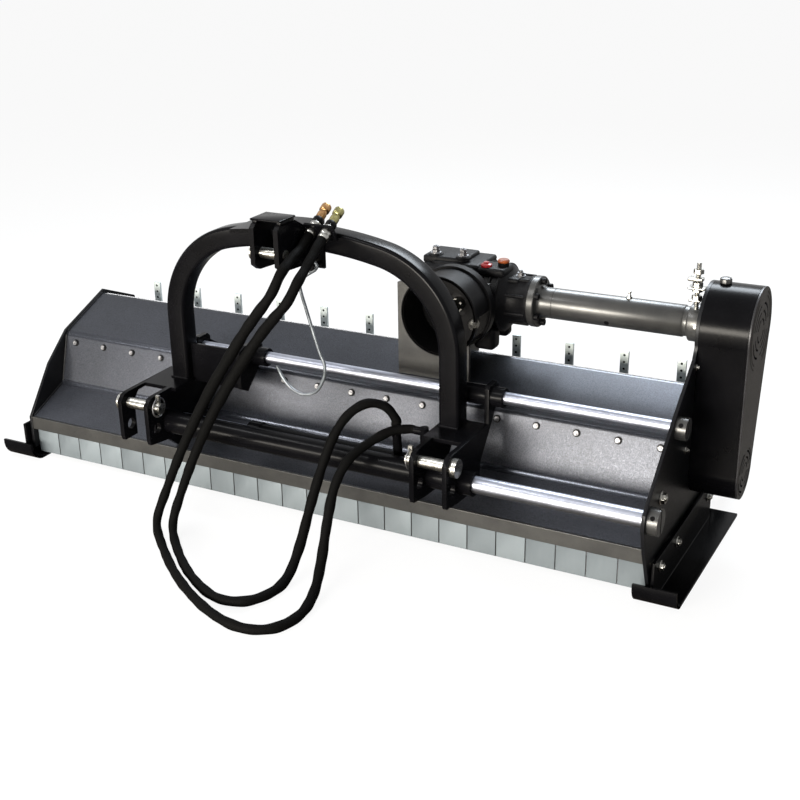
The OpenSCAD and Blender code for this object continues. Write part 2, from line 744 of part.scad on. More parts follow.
// a hammer flail, wider towards its cutting end, turned on its pin to where it rests with the rotor still:
// the lower rows hang straight down, the upper rows lie on their stops
flail_rest = [95, 45, -45, -95];
flail_len = flail_reach - flail_pin_at;
module flail_row(row) {
  color([0.2, 0.19, 0.18]) on_row(row) translate([0, 0, flail_pin_at]) rotate([flail_rest[row], 0, 0])
    difference() {
      plate_x(-flail_w / 2, flail_w / 2, [[-12, -12], [12, -12], [14, 15], [22, flail_len - 18],
        [22, flail_len], [-22, flail_len], [-22, flail_len - 18], [-14, 15]]);
      round_x(flail_pin_r + run_play, -flail_w, flail_w, 0, 0);
    }
}

module rear_roller() {
  color([0.1, 0.1, 0.11]) {
    difference() {
      round_x(roller_r, -roller_end, roller_end, roller_y, roller_r);
      round_x(roller_r - 6, 10 - roller_end, roller_end - 10, roller_y, roller_r);
    }
    round_x(roller_shaft_r, -outer - arm_t - 12, -roller_end, roller_y, roller_r);
    round_x(roller_shaft_r, roller_end, outer + arm_t + 12, roller_y, roller_r);
  }
}

// hanging flaps with a rolled eye on the rod, in four groups
module flap_group(group) {
  color([0.65, 0.68, 0.7]) for (i = [0 : flap_group_size - 1]) {
    x = (group * flap_group_size + i) * flap_pitch - half + flap_gap / 2;
    difference() {
      union() {
        round_x(flap_eye_r, x, x + flap_pitch - flap_gap, flap_rod_y, flap_rod_z);
        translate([x, flap_rod_y - flap_t / 2, flap_foot])
          cube([flap_pitch - flap_gap, flap_t, flap_rod_z - flap_foot]);
      }
      round_x(flap_rod_r + run_play, x - 1, x + flap_pitch, flap_rod_y, flap_rod_z);
    }
  }
}

// hitch

// bent square tube: two legs, two shoulders and a shallow crown
module hitch_arch() {
  color([0.07, 0.07, 0.08]) {
    for (s = [-1, 1])
      translate([s > 0 ? arch_half - arch_tube_w : -arch_half, arch_front, ear_top])
        cube([arch_tube_w, arch_tube_d, shoulder_z - ear_top]);
    sector_y(arch_corner_r - arch_tube_w, arch_corner_r, arch_front, arch_rear, arch_half - arch_corner_r,
      shoulder_z, 0, 90 - crown_turn, $fn = 360);
    sector_y(arch_corner_r - arch_tube_w, arch_corner_r, arch_front, arch_rear, arch_corner_r - arch_half,
      shoulder_z, 90 + crown_turn, 180, $fn = 360);
    sector_y(arch_crown_r - arch_tube_w, arch_crown_r, arch_front, arch_rear, 0, arch_top - arch_crown_r,
      90 - crown_turn, 90 + crown_turn, $fn = 720);
  }
}

// places a piece on a coupler's leaning axis
module on_coupler(at) {
  translate(at) rotate([-coupler_lean, 0, 0]) children();
}

// two upright plates for the top link, the saddle plate over the crown, the hose holder and the hook's stud
module top_link_bracket() {
  color([0.07, 0.07, 0.08]) difference() {
    union() {
      for (x = [-link_out, link_in]) plate_x(x, x + link_t, [[pin_y - 16, top_pin_z - 22],
        [pin_y - 16, top_pin_z + 62], [pin_y - 4, top_pin_z + 72], [-60, top_pin_z + 72],
        [arch_front, arch_top - 2], [arch_front, top_pin_z - 46], [pin_y + 4, top_pin_z - 36]]);
      sector_y(arch_crown_r, arch_crown_r + top_plate_t, -64, arch_rear, 0, arch_top - arch_crown_r,
        90 - asin(link_out / arch_crown_r), 98);
      translate([hook_x - 14, arch_front - 8, hook_z - 12]) cube([28, 8, arch_top - hook_z + 2]);
      on_coupler(coupler_1) translate([link_out - coupler_1[0], -22, 10])
        cube([coupler_2[0] - link_out + 19, 42, 6]);
      round_y(stud_r, hook_y - 9, arch_front - 8, hook_x, hook_z);
      round_y(stud_r + 4, hook_y - 13, hook_y - 9, hook_x, hook_z);
    }
    round_x(top_pin_r, -link_out - 1, link_out + 1, top_pin_y, top_pin_z);
    for (at = [coupler_1, coupler_2]) on_coupler(at) translate([0, 0, -20])
      cylinder(r = ferrule_r, h = ferrule_len + 20);
  }
}

ear_line = [[ear_front + 4, pin_z - hole_drop - 36], [ear_front, pin_z - hole_drop - 24],
  [ear_front, pin_z + 13], [ear_front + 14, pin_z + 27], [ear_front + 30, ear_top], [arch_rear + 8, ear_top],
  [arch_rear + 8, upper_rail_z + 24], [upper_rail_y - 19, upper_rail_z + 32],
  [upper_rail_y + 19, upper_rail_z + 32], [upper_rail_y + 29, upper_rail_z + 22],
  [upper_rail_y + 29, upper_rail_z - 16], [barrel_y + 36, barrel_z + 26], [barrel_y + 28, barrel_z - 26],
  [barrel_y - 6, barrel_z - 34], [lower_rail_y - 28, lower_rail_z - 42]];
// the left outer ear stops short of the rails, so that it passes the rail bracket
short_ear = [[ear_front + 4, pin_z - hole_drop - 36], [ear_front, pin_z - hole_drop - 24],
  [ear_front, pin_z + 13], [ear_front + 14, pin_z + 27], [ear_front + 30, ear_top], [arch_rear + 8, ear_top],
  [arch_rear + 8, ear_top - 10], [ear_cut + 20, ear_top - 10], [ear_cut, ear_top - 30],
  [ear_cut, pin_z - hole_drop - 36]];

// ear plates and their bridge: outer_line is the outer ear's outline, rod_hole clears the cylinder's rod
module clevis(outer_line, rod_hole) {
  difference() {
    union() {
      plate_x(carriage_in, carriage_in + ear_t, ear_line);
      plate_x(carriage_out - ear_t, carriage_out, outer_line);
      translate([bridge_in, -50, ear_top - 10]) cube([bridge_out - bridge_in, arch_rear + 58, 10]);
    }
    round_x(pin_r, carriage_in - 20, carriage_out + 1, pin_y, pin_z);
    round_x(pin_r + 0.25, carriage_in - 20, carriage_out + 1, pin_y, pin_z - hole_drop);
    round_x(upper_rail_r + bush_wall, carriage_in - 20, carriage_out + 1, upper_rail_y, upper_rail_z);
    round_x(lower_rail_r + bush_wall, carriage_in - 20, carriage_out + 1, lower_rail_y, lower_rail_z);
    if (rod_hole) round_x(rod_r + 5, carriage_in - 20, carriage_out + 1, barrel_y, barrel_z);
  }
}
module carriage_right() {
  color([0.07, 0.07, 0.08]) clevis(ear_line, false);
}
module carriage_left() {
  color([0.07, 0.07, 0.08]) {
    mirror([1, 0, 0]) clevis(short_ear, true);
    translate([arch_tube_w - arch_half, arch_rear - 32, ear_top - 10])
      cube([arch_half - arch_tube_w + third_plate_x, 8, 102]);
    difference() {
      plate_x(third_plate_x, third_plate_x + 12, [[arch_rear - 40, ear_top - 8], [arch_rear - 40, upper_rail_z + 32],
        [upper_rail_y - 45, upper_rail_z + 40], [upper_rail_y + 23, upper_rail_z + 36],
        [upper_rail_y + 31, upper_rail_z + 20], [upper_rail_y + 31, upper_rail_z - 16], [60, 285]]);
      round_x(upper_rail_r + bush_wall, third_plate_x - 1, third_plate_x + 13, upper_rail_y, upper_rail_z);
    }
  }
}

// plain bushes that run on the rails
module bush(r, x0, x1, y, z) {
  difference() {
    round_x(r + bush_wall, x0, x1, y, z);
    round_x(r + run_play, x0 - 1, x1 + 1, y, z);
  }
}
module rail_bushes() {
  color([0.12, 0.12, 0.12]) {
    bush(upper_rail_r, carriage_in, bush_end, upper_rail_y, upper_rail_z);
    bush(lower_rail_r, -carriage_in - ear_t, bush_end, lower_rail_y, lower_rail_z);
    bush(upper_rail_r, -carriage_in - ear_t, -carriage_in, upper_rail_y, upper_rail_z);
    bush(upper_rail_r, third_plate_x - 10, third_plate_x + 50, upper_rail_y, upper_rail_z);
  }
}

// barrel of the side shift cylinder with its two port stubs
module cylinder_barrel() {
  color([0.07, 0.07, 0.08]) difference() {
    union() {
      round_x(barrel_r, barrel_left, carriage_in, barrel_y, barrel_z);
      round_x(barrel_r + 3, barrel_left, barrel_left + 34, barrel_y, barrel_z);
      rod_between([port_1[0] + 24, barrel_y, barrel_z], port_1 + [24, 0, 10], port_r);
      rod_between(port_1, port_1 + [24, 0, 0], port_r - 1);
      rod_between([port_2[0], barrel_y, barrel_z], port_2, port_r);
    }
    round_x(barrel_bore_r, barrel_left + 22, piston_x + 32, barrel_y, barrel_z);
    round_x(rod_r + run_play, barrel_left - 1, barrel_left + 23, barrel_y, barrel_z);
  }
}

linch_x = carriage_in - linch_in;
linch_z = pin_z + linch_rise;
module hitch_pins() {
  color([0.75, 0.74, 0.7]) {
    for (s = [-1, 1]) mirror([s < 0 ? 1 : 0, 0, 0]) difference() {
      union() {
        round_x(pin_r, carriage_in - 20, carriage_out, pin_y, pin_z);
        round_x(pin_r + 8, carriage_out, carriage_out + 14, pin_y, pin_z);
      }
      translate([linch_x, pin_y, pin_z - pin_r - 2]) cylinder(r = 4, h = 2 * pin_r + 8);
    }
    round_x(top_pin_r, -link_out, link_out + 1, top_pin_y, top_pin_z);
    round_x(top_pin_r + 7, -link_out - 12, -link_out, top_pin_y, top_pin_z);
  }
}

// spring pins through the lower hitch pins, each with an eye for its ring
module linch_pins() {
  color([0.8, 0.78, 0.72]) for (s = [-1, 1]) mirror([s < 0 ? 1 : 0, 0, 0]) difference() {
    translate([linch_x, pin_y, pin_z - pin_r - 2]) {
      cylinder(r = 4, h = 2 * pin_r + 8);
      translate([-5, -4, 2 * pin_r + 4]) cube([10, 8, linch_rise - pin_r + 6]);
    }
    round_y(linch_hole_r, pin_y - 5, pin_y + 5, linch_x, linch_z);
  }
}

module linch_ring() {
  translate([linch_x, pin_y, linch_z - linch_ring_r]) rotate([0, 90, 0])
    rotate_extrude() translate([linch_ring_r, 0]) circle(r = linch_wire, $fn = 24);
}
module linch_ring_right() {
  color([0.8, 0.78, 0.72]) linch_ring();
}
module linch_ring_left() {
  color([0.8, 0.78, 0.72]) mirror([1, 0, 0]) linch_ring();
}

module hose_ferrules() {
  color([0.62, 0.6, 0.55]) for (at = [coupler_1, coupler_2]) on_coupler(at)
    cylinder(r = ferrule_r, h = ferrule_len);
}

module hose_couplers() {
  color([0.68, 0.55, 0.3]) for (at = [coupler_1, coupler_2]) on_coupler(at) {
    translate([0, 0, ferrule_len]) cylinder(r = 14, h = 16, $fn = 6);
    translate([0, 0, ferrule_len + 16]) cylinder(r = 10, h = 20);
    translate([0, 0, ferrule_len + 36]) cylinder(r = 12, h = 24);
  }
}

// hoses: from a coupler down to the ground, round a loop in front, and up to the cylinder's ports
lead_in = 44 * [0, sin(coupler_lean), cos(coupler_lean)];
lie = hose_d / 2 + 2;
route_1 = [coupler_1, coupler_1 - lead_in, coupler_1 + [0, -81, -35], coupler_1 + [-2, -125, -59],
  coupler_1 + [-16, -149, -103], [-8, -178, 580],
  [-55, -180, 516], [-150, -190, 368], [-223, -205, 228], [-279, -215, 103], [-292, -244, 32], [-227, -312, lie],
  [-96, -425, lie], [40, -508, lie], [148, -540, lie], [218, -514, lie], [243, -440, lie], [226, -350, lie + 5],
  [204, -278, 56], [193, -228, 128], [190, -184, 200], port_1 + [-110, -126, -48], port_1 + [-86, -74, -22],
  port_1 + [-50, -28, -2],
  port_1 - [14, 0, 0], port_1];
route_2 = [coupler_2, coupler_2 - lead_in, coupler_2 + [0, -76, -47], coupler_2 + [-1, -114, -73],
  coupler_2 + [-15, -138, -113], [42, -180, 582],
  [-12, -180, 516], [-110, -188, 371], [-183, -200, 231], [-231, -215, 111], [-246, -240, 32], [-175, -318, lie],
  [-72, -405, lie], [30, -458, lie], [100, -446, lie], [134, -388, lie], [136, -320, lie + 5], [132, -256, 64],
  [131, -196, 148], [136, -150, 222], port_2 + [-112, -104, -14], port_2 + [-88, -74, 36],
  port_2 + [-54, -42, 60], port_2 + [-20, -14, 48],
  port_2 + [0, 0, 14], port_2];
function route_point(p, i) = p[min(max(i, 0), len(p) - 1)];
// smooth curve through the route points: i counts spans, t runs along one
function along(p, i, t) =
  let (a = route_point(p, i - 1), b = route_point(p, i), c = route_point(p, i + 1), d = route_point(p, i + 2))
  b + 0.5 * t * (c - a + t * (2 * a - 5 * b + 4 * c - d + t * (3 * (b - c) + d - a)));
function smooth(p) = concat([for (i = [0 : len(p) - 2], t = [0, 0.5]) along(p, i, t)], [p[len(p) - 1]]);
function heading(q, i) = unit(route_point(q, i + 1) - route_point(q, i - 1));
// side vectors carried from ring to ring without twist
function carried(q, i, n, done) = i == len(q) ? done :
  let (h = heading(q, i), m = unit(n - (n * h) * h)) carried(q, i + 1, m, concat(done, [m]));
hose_sides = 10;
module hose(p, d = hose_d) {
  q = smooth(p);
  side = carried(q, 0, [0, 1, 0], []);
  last = len(q) - 1;
  points = [for (i = [0 : last], k = [0 : hose_sides - 1])
    let (h = heading(q, i), a = side[i], b = cross(h, a), w = 360 * k / hose_sides)
    q[i] + d / 2 * (cos(w) * a + sin(w) * b)];
  walls = [for (i = [0 : last - 1], k = [0 : hose_sides - 1])
    let (j = (k + 1) % hose_sides, n = i * hose_sides)
    [n + k, n + hose_sides + k, n + hose_sides + j, n + j]];
  near = [for (k = [0 : hose_sides - 1]) k];
  far = [for (k = [hose_sides - 1 : -1 : 0]) last * hose_sides + k];
  polyhedron(points, concat([near], walls, [far]));
}
module hose_outer() {
  color([0.05, 0.05, 0.05]) hose(route_1);
}
module hose_inner() {
  color([0.05, 0.05, 0.05]) hose(route_2);
}

// bent rod that holds the drive shaft when it is off the tractor, as [along, up] from its eye
hook_path = [[5, -9], [-26, -30], [-39, -52], [-23, -112], [5, -202], [20, -242], [16, -276], [-6, -312],
  [-41, -326], [-73, -318], [-97, -296], [-115, -264]];
module pto_hook() {
  color([0.8, 0.78, 0.72]) {
    translate([hook_x, hook_y, hook_z]) rotate([90, 0, 0]) rotate_extrude()
      translate([stud_r + run_play + hook_wire, 0]) circle(r = hook_wire, $fn = 24);
    hose([for (p = hook_path) [hook_x + p[0], hook_y, hook_z + p[1]]], 2 * hook_wire);
  }
}

// puts the origin under the middle of the mower
module placed() {
  translate([frame_x, frame_y, 0]) children();
}

placed() deck_shell();
placed() left_side_plate();
placed() right_side_plate();
placed() front_bar();
placed() flap_rod();
placed() deck_bolts();
placed() upper_rail();
placed() lower_rail();
placed() rail_collars();
placed() rail_bracket();
placed() tine_bar();
placed() rake_tines();
placed() gearbox_bracket();
placed() gearbox_housing();
placed() gearbox_cover();
placed() filler_plug();
placed() breather_plug();
placed() pto_guard();
placed() drive_tube();
placed() bearings();
placed() guard_rim();
placed() guard_face();
placed() guard_knob();
placed() belt_tensioner();
placed() drive_belts();
placed() left_skid();
placed() right_skid();
placed() roller_arms();
placed() cylinder_rod();
placed() input_shaft();
placed() bevel_gear();
placed() drive_shaft();
placed() upper_pulley();
placed() rotor_tube();
placed() rotor_lugs();
placed() lower_pulley();
placed() flail_row(0);  // flail_row_1
placed() flail_row(1);  // flail_row_2
placed() flail_row(2);  // flail_row_3
placed() flail_row(3);  // flail_row_4
placed() rear_roller();
placed() flap_group(0);  // flap_group_1
placed() flap_group(1);  // flap_group_2
placed() flap_group(2);  // flap_group_3
placed() flap_group(3);  // flap_group_4
placed() hitch_arch();
placed() top_link_bracket();
placed() carriage_left();
placed() carriage_right();
placed() rail_bushes();
placed() cylinder_barrel();
placed() hitch_pins();
placed() linch_pins();
placed() hose_couplers();
placed() hose_ferrules();
placed() hose_outer();
placed() hose_inner();
placed() pto_hook();
placed() linch_ring_left();
placed() linch_ring_right();
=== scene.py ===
import json
import math

import bmesh
import bpy
import numpy as np
from mathutils import Matrix, Vector


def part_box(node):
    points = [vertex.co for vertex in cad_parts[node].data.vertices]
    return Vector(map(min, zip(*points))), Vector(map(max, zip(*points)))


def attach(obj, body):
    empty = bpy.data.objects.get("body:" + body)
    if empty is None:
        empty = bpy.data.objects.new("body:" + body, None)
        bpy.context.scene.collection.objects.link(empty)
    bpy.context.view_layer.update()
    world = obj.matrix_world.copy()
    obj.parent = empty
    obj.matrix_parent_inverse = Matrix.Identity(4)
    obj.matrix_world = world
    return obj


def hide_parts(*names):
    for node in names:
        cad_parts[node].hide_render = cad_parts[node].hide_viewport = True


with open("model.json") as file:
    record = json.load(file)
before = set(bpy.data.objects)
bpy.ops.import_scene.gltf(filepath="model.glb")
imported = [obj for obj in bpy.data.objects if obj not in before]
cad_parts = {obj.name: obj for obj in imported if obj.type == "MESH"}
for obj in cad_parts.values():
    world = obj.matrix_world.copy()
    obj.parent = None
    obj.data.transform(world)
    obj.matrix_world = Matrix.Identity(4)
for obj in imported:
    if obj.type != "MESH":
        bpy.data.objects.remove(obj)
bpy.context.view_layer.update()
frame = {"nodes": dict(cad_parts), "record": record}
scene = bpy.context.scene
nodes = frame["nodes"]
bodyOf = {n: body for body, members in frame["record"]["behaviour"]["bodies"].items() for n in members}
mm = 0.001
print("frame loaded:", len(nodes), "nodes")

# Deck zero lies midway along the hood and 14 mm behind its front edge, on the ground.
hoodFront = -14
deckLow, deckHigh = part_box("deck_shell")
deckZero = np.array([(deckLow.x + deckHigh.x) / 2, deckLow.y - hoodFront * mm, 0.0])


def at(points):  # deck millimetres to the frame's metres
    return np.asarray(points, float) * mm + deckZero


def unit(v):
    v = np.asarray(v, float)
    return v / np.linalg.norm(v, axis=-1, keepdims=True)


# Colours and nodes


def linear(hexText):  # an sRGB hex value as linear RGBA
    value = np.array([int(hexText[i:i + 2], 16) for i in (1, 3, 5)]) / 255
    return (*np.where(value <= 0.04045, value / 12.92, ((value + 0.055) / 1.055) ** 2.4), 1.0)


def join(tree, node, links):  # sources to a node's sockets
    for name, source in links.items():
        tree.links.new(source, node.inputs[name])


def addNode(tree, kind, settings={}, links={}):  # a node with its settings and links
    node = tree.nodes.new("ShaderNode" + kind)
    for name, value in settings.items():
        if isinstance(name, int) or name in node.inputs:
            node.inputs[name].default_value = value
        else:
            setattr(node, name, value)
    join(tree, node, links)
    return node


def startMaterial(name, look):  # a Principled surface; a look's key that is a socket's name sets it
    material = bpy.data.materials.new(name)
    material.use_nodes = True
    tree = material.node_tree
    surface = tree.nodes["Principled BSDF"]
    for socket in set(look) & set(surface.inputs.keys()):
        surface.inputs[socket].default_value = look[socket]
    return material, tree, surface


# Blotches shift the colour, a fine grain shifts the roughness and lifts the surface.
def grainedMaterial(name, look):
    material, tree, surface = startMaterial(name, look)
    coords = addNode(tree, "TexCoord").outputs["Object"]
    blotch = addNode(tree, "TexNoise", {"Scale": 1 / (look["blotchMm"] * mm), "Detail": 5.0,
        "Roughness": 0.6}, {"Vector": coords})
    ramp = addNode(tree, "MapRange", {"From Min": 0.32, "From Max": 0.68}, {"Value": blotch.outputs["Fac"]})
    colour = addNode(tree, "Mix", {"data_type": "RGBA", 6: linear(look["dark"]),
        7: linear(look["light"])}, {0: ramp.outputs["Result"]})
    if "fleckMm" in look:  # metal flakes: a fine noise multiplies the colour
        fleck = addNode(tree, "TexNoise", {"Scale": 1 / (look["fleckMm"] * mm), "Detail": 1.0},
            {"Vector": coords})
        tone = addNode(tree, "MapRange", {"From Min": 0.36, "From Max": 0.64, "To Min": 0.7,
            "To Max": 1.32}, {"Value": fleck.outputs["Fac"]})
        colour = addNode(tree, "Mix", {"data_type": "RGBA", "blend_type": "MULTIPLY", 0: 1.0},
            {6: colour.outputs[2], 7: tone.outputs["Result"]})
    smooth, rough = look["rough"]
    grain = addNode(tree, "TexNoise", {"Scale": 1 / (look["grainMm"] * mm), "Detail": 3.0},
        {"Vector": coords})
    gloss = addNode(tree, "MapRange", {"From Min": 0.25, "From Max": 0.75, "To Min": smooth,
        "To Max": rough}, {"Value": grain.outputs["Fac"]})
    if "bendRough" in look:  # paint stretched smooth where the sheet is bent
        bent = addNode(tree, "Attribute", {"attribute_name": "bend"})
        gloss = addNode(tree, "MapRange", {"To Max": look["bendRough"]},
            {"Value": bent.outputs["Fac"], "To Min": gloss.outputs["Result"]})
    lift = addNode(tree, "Bump", {"Strength": look["lift"], "Distance": look["liftMm"] * mm},
        {"Height": grain.outputs["Fac"]})
    join(tree, surface, {"Base Color": colour.outputs[2], "Roughness": gloss.outputs["Result"],
        "Normal": lift.outputs["Normal"]})
    return material


looks = {
    # powder coat with metal flake on bent sheet: blue-grey, soft sheen, faint orange peel; the flakes are
    # coarser than real ones, so that they show
    "deckPaint": {"dark": "#26282d", "light": "#2e3036", "bendRough": 0.22, "fleckMm": 2.6, "blotchMm": 240,
        "grainMm": 2.1, "rough": (0.24, 0.48), "lift": 0.5, "liftMm": 0.45, "Metallic": 0.7},
    # a darker coat of the same kind on the thick end plates
    "platePaint": {"dark": "#0d0d0f", "light": "#161719", "blotchMm": 160, "grainMm": 2.4,
        "rough": (0.28, 0.42), "lift": 0.2, "liftMm": 0.3, "Metallic": 0.3, "Specular IOR Level": 0.12},
    # black powder coat on welded steel: deep, with soft highlights
    "blackPaint": {"dark": "#040405", "light": "#08080a", "blotchMm": 120, "grainMm": 3,
        "rough": (0.18, 0.27), "lift": 0.03, "liftMm": 0.3, "Specular IOR Level": 0.05},
    # grey machine paint on tube and flat bar: even, with a metal sheen
    "greyPaint": {"dark": "#343434", "light": "#424241", "blotchMm": 90, "grainMm": 2, "rough": (0.26, 0.4),
        "lift": 0.1, "liftMm": 0.2, "Metallic": 0.6},
    # dark grey coat on the guard's pressed face: duller than the tube's
    "guardGrey": {"dark": "#232325", "light": "#2e2e30", "blotchMm": 110, "grainMm": 2.4,
        "rough": (0.3, 0.42), "lift": 0.15, "liftMm": 0.3, "Metallic": 0.4, "Specular IOR Level": 0.2},
    # painted cast iron: coarse sand skin under a thin black coat
    "castBlack": {"dark": "#060607", "light": "#0f0f11", "blotchMm": 40, "grainMm": 2, "rough": (0.34, 0.55),
        "lift": 0.4, "liftMm": 0.6, "Specular IOR Level": 0.08},
    # hard chrome on a ground rod: satin bands along it
    "chromeRod": {"dark": "#80838e", "light": "#999ca6", "blotchMm": 70, "grainMm": 6, "rough": (0.32, 0.4),
        "lift": 0.02, "liftMm": 0.1, "Metallic": 1.0},
    # bright zinc on bolts and pins: silver with a faint warm cast
    "brightZinc": {"dark": "#74736f", "light": "#b6b5b0", "blotchMm": 14, "grainMm": 2, "rough": (0.22, 0.36),
        "lift": 0.08, "liftMm": 0.15, "Metallic": 1.0},
    # dull zinc on small bolts and the pins' rings: mottled grey
    "dullZinc": {"dark": "#26262a", "light": "#8c8c8e", "blotchMm": 4, "grainMm": 2, "rough": (0.34, 0.55),
        "lift": 0.2, "liftMm": 0.2, "Metallic": 0.9},
    # galvanised bar: dull light grey spangle
    "zincSheet": {"dark": "#9aa3a3", "light": "#c4cccb", "blotchMm": 16, "grainMm": 2, "rough": (0.36, 0.52),
        "lift": 0.12, "liftMm": 0.2, "Metallic": 0.25},
    # drawn wire with a thin grey zinc coat: plain mid grey
    "zincWire": {"dark": "#4a4e52", "light": "#70757a", "blotchMm": 24, "grainMm": 1.5, "rough": (0.3, 0.45),
        "lift": 0.05, "liftMm": 0.1, "Metallic": 0.6},
    # turned steel, lightly oiled: bare grey metal
    "turnedSteel": {"dark": "#7b7a77", "light": "#9b9a96", "blotchMm": 25, "grainMm": 1.2,
        "rough": (0.25, 0.4), "lift": 0.08, "liftMm": 0.1, "Metallic": 1.0},
    # bare forged iron under the hood: dark and matt
    "iron": {"dark": "#242322", "light": "#3a3836", "blotchMm": 30, "grainMm": 1.5, "rough": (0.5, 0.68),
        "lift": 0.3, "liftMm": 0.4, "Metallic": 0.7},
    # black moulded polyethylene: soft, low sheen
    "blackPlastic": {"dark": "#060607", "light": "#0c0c0d", "blotchMm": 60, "grainMm": 1.6,
        "rough": (0.3, 0.42), "lift": 0.1, "liftMm": 0.2, "Specular IOR Level": 0.05},
    # moulded nylon plug: deep red
    "redPlastic": {"dark": "#700b11", "light": "#8e1419", "blotchMm": 12, "grainMm": 1, "rough": (0.25, 0.35),
        "lift": 0.05, "liftMm": 0.1},
    # yellow chromate on brass fittings: greenish gold
    "couplerBrass": {"dark": "#6f6b48", "light": "#a09a6c", "blotchMm": 9, "grainMm": 1,
        "rough": (0.24, 0.38), "lift": 0.08, "liftMm": 0.1, "Metallic": 1.0},
    # vulcanised belt: dusty black
    "beltRubber": {"dark": "#0c0c0c", "light": "#161616", "blotchMm": 20, "grainMm": 1, "rough": (0.6, 0.75),
        "lift": 0.2, "liftMm": 0.2},
}
# the same nylon in amber brown, and brass with less yellow chromate: copper tint
looks["brownPlastic"] = {**looks["redPlastic"], "dark": "#642a0a", "light": "#853f12"}
looks["copperBrass"] = {**looks["couplerBrass"], "dark": "#7a5a3a", "light": "#b28c62"}
materials = {name: grainedMaterial(name, look) for name, look in looks.items()}

# zinc-coated steel flaps: blue-grey, each in its own tone, with fine upright streaks and painted gap shadows
flapLook = {"dark": "#575e63", "light": "#6c7479", "joint": "#171a1c", "pitchMm": 74,
    "jointShare": (0.014, 0.026), "streakMm": (9, 40, 60), "streakShare": 0.3, "rough": (0.4, 0.62),
    "Metallic": 0.45}


# Flap tones: the flap's number along X, taken as a whole, picks its tone, and upright streaks shift the tone
# and the roughness; each end is darkened by a painted shadow of the gap between flaps.
def flapMaterial(name, look):
    material, tree, surface = startMaterial(name, look)
    coords = addNode(tree, "TexCoord").outputs["Object"]
    spread = addNode(tree, "SeparateXYZ", links={0: coords})
    shifted = addNode(tree, "Math", {"operation": "SUBTRACT", 1: float(deckLow.x)}, {0: spread.outputs["X"]})
    counted = addNode(tree, "Math", {"operation": "DIVIDE", 1: look["pitchMm"] * mm}, {0: shifted.outputs[0]})
    whole = addNode(tree, "Math", {"operation": "FLOOR"}, {0: counted.outputs[0]})
    tone = addNode(tree, "TexWhiteNoise", {"noise_dimensions": "1D"}, {"W": whole.outputs[0]})
    stretched = addNode(tree, "Mapping", {"Scale": tuple(1 / (s * mm) for s in look["streakMm"])},
        {"Vector": coords})
    streak = addNode(tree, "TexNoise", {"Scale": 1.0, "Detail": 3.0}, {"Vector": stretched.outputs[0]})
    share = look["streakShare"]
    part = addNode(tree, "Math", {"operation": "MULTIPLY", 1: share}, {0: streak.outputs["Fac"]})
    both = addNode(tree, "Math", {"operation": "MULTIPLY_ADD", 1: 1 - share},
        {0: tone.outputs["Value"], 2: part.outputs[0]})
    colour = addNode(tree, "Mix", {"data_type": "RGBA", 6: linear(look["dark"]),
        7: linear(look["light"])}, {0: both.outputs[0]})
    # painted shade: the colour turns dark near each flap's ends, where the gap between flaps lies in shadow
    across = addNode(tree, "Math", {"operation": "PINGPONG", 1: 0.5}, {0: counted.outputs[0]})
    inner, outer = look["jointShare"]
    joint = addNode(tree, "MapRange", {"From Min": inner, "From Max": outer}, {"Value": across.outputs[0]})
    gapShaded = addNode(tree, "Mix", {"data_type": "RGBA", 6: linear(look["joint"])},
        {0: joint.outputs["Result"], 7: colour.outputs[2]})
    smooth, rough = look["rough"]
    gloss = addNode(tree, "MapRange", {"To Min": smooth, "To Max": rough}, {"Value": streak.outputs["Fac"]})
    join(tree, surface, {"Base Color": gapShaded.outputs[2], "Roughness": gloss.outputs["Result"]})
    return material


materials["flapZinc"] = flapMaterial("flapZinc", flapLook)
print("materials made:", len(materials))

# Surfaces


def newStore():
    return {"points": [], "faces": [], "count": 0}


# Grid surface: point (i, j) is joined to its neighbours along both directions by quads; the last row or
# column joins the first where that direction is closed, and end rows may be filled.
def addGrid(store, grid, closedRows=False, closedColumns=True, fillEnds=False):
    rows, columns = grid.shape[:2]
    index = np.arange(rows * columns).reshape(rows, columns) + store["count"]
    if fillEnds:
        store["faces"] += [index[0][::-1].tolist(), index[-1].tolist()]
    if closedRows:
        index = np.vstack([index, index[:1]])
    if closedColumns:
        index = np.hstack([index, index[:, :1]])
    quads = np.stack([index[:-1, :-1], index[1:, :-1], index[1:, 1:], index[:-1, 1:]], -1)
    store["faces"] += quads.reshape(-1, 4).tolist()
    store["points"].append(grid.reshape(-1, 3))
    store["count"] += rows * columns


def around(steps):  # angles once round, without the last
    return np.linspace(0, 2 * np.pi, steps, endpoint=False)


# Ring directions: two directions square to the axis, mixed by the cosine and sine of each angle.
def ringAround(axis, u):
    axis = unit(axis)
    near = (0, 0, 1) if abs(axis[2]) < 0.9 else (0, 1, 0)
    side = unit(np.cross(near, axis))
    return axis, np.cos(u)[:, None] * side + np.sin(u)[:, None] * np.cross(axis, side)


# Turned shape: a (radius, height) line carried once round an axis.
def addTurned(store, line, base, axis, steps=32):
    axis, ring = ringAround(axis, around(steps))
    line = np.asarray(line, float) * mm
    addGrid(store, at(base) + line[:, 1, None, None] * axis + line[:, 0, None, None] * ring)


# Hexagon head or nut: the hexagon's radius round the axis, cut back by a cone at the top edge.
def addHex(store, base, axis, radius, height):
    edge, top = 0.8, 0.93  # shares of the height and the radius at the chamfer
    u = around(48)
    axis, ring = ringAround(axis, u)
    flat = radius * math.cos(math.pi / 6) / np.cos(u % (np.pi / 3) - np.pi / 6)
    heights = np.array([0, 0, height * edge, height, height])
    cone = np.array([0, 2, 2, top, 0]) * radius
    size = np.minimum(flat[None, :], cone[:, None])
    addGrid(store, at(base) + heights[:, None, None] * mm * axis + size[:, :, None] * mm * ring)


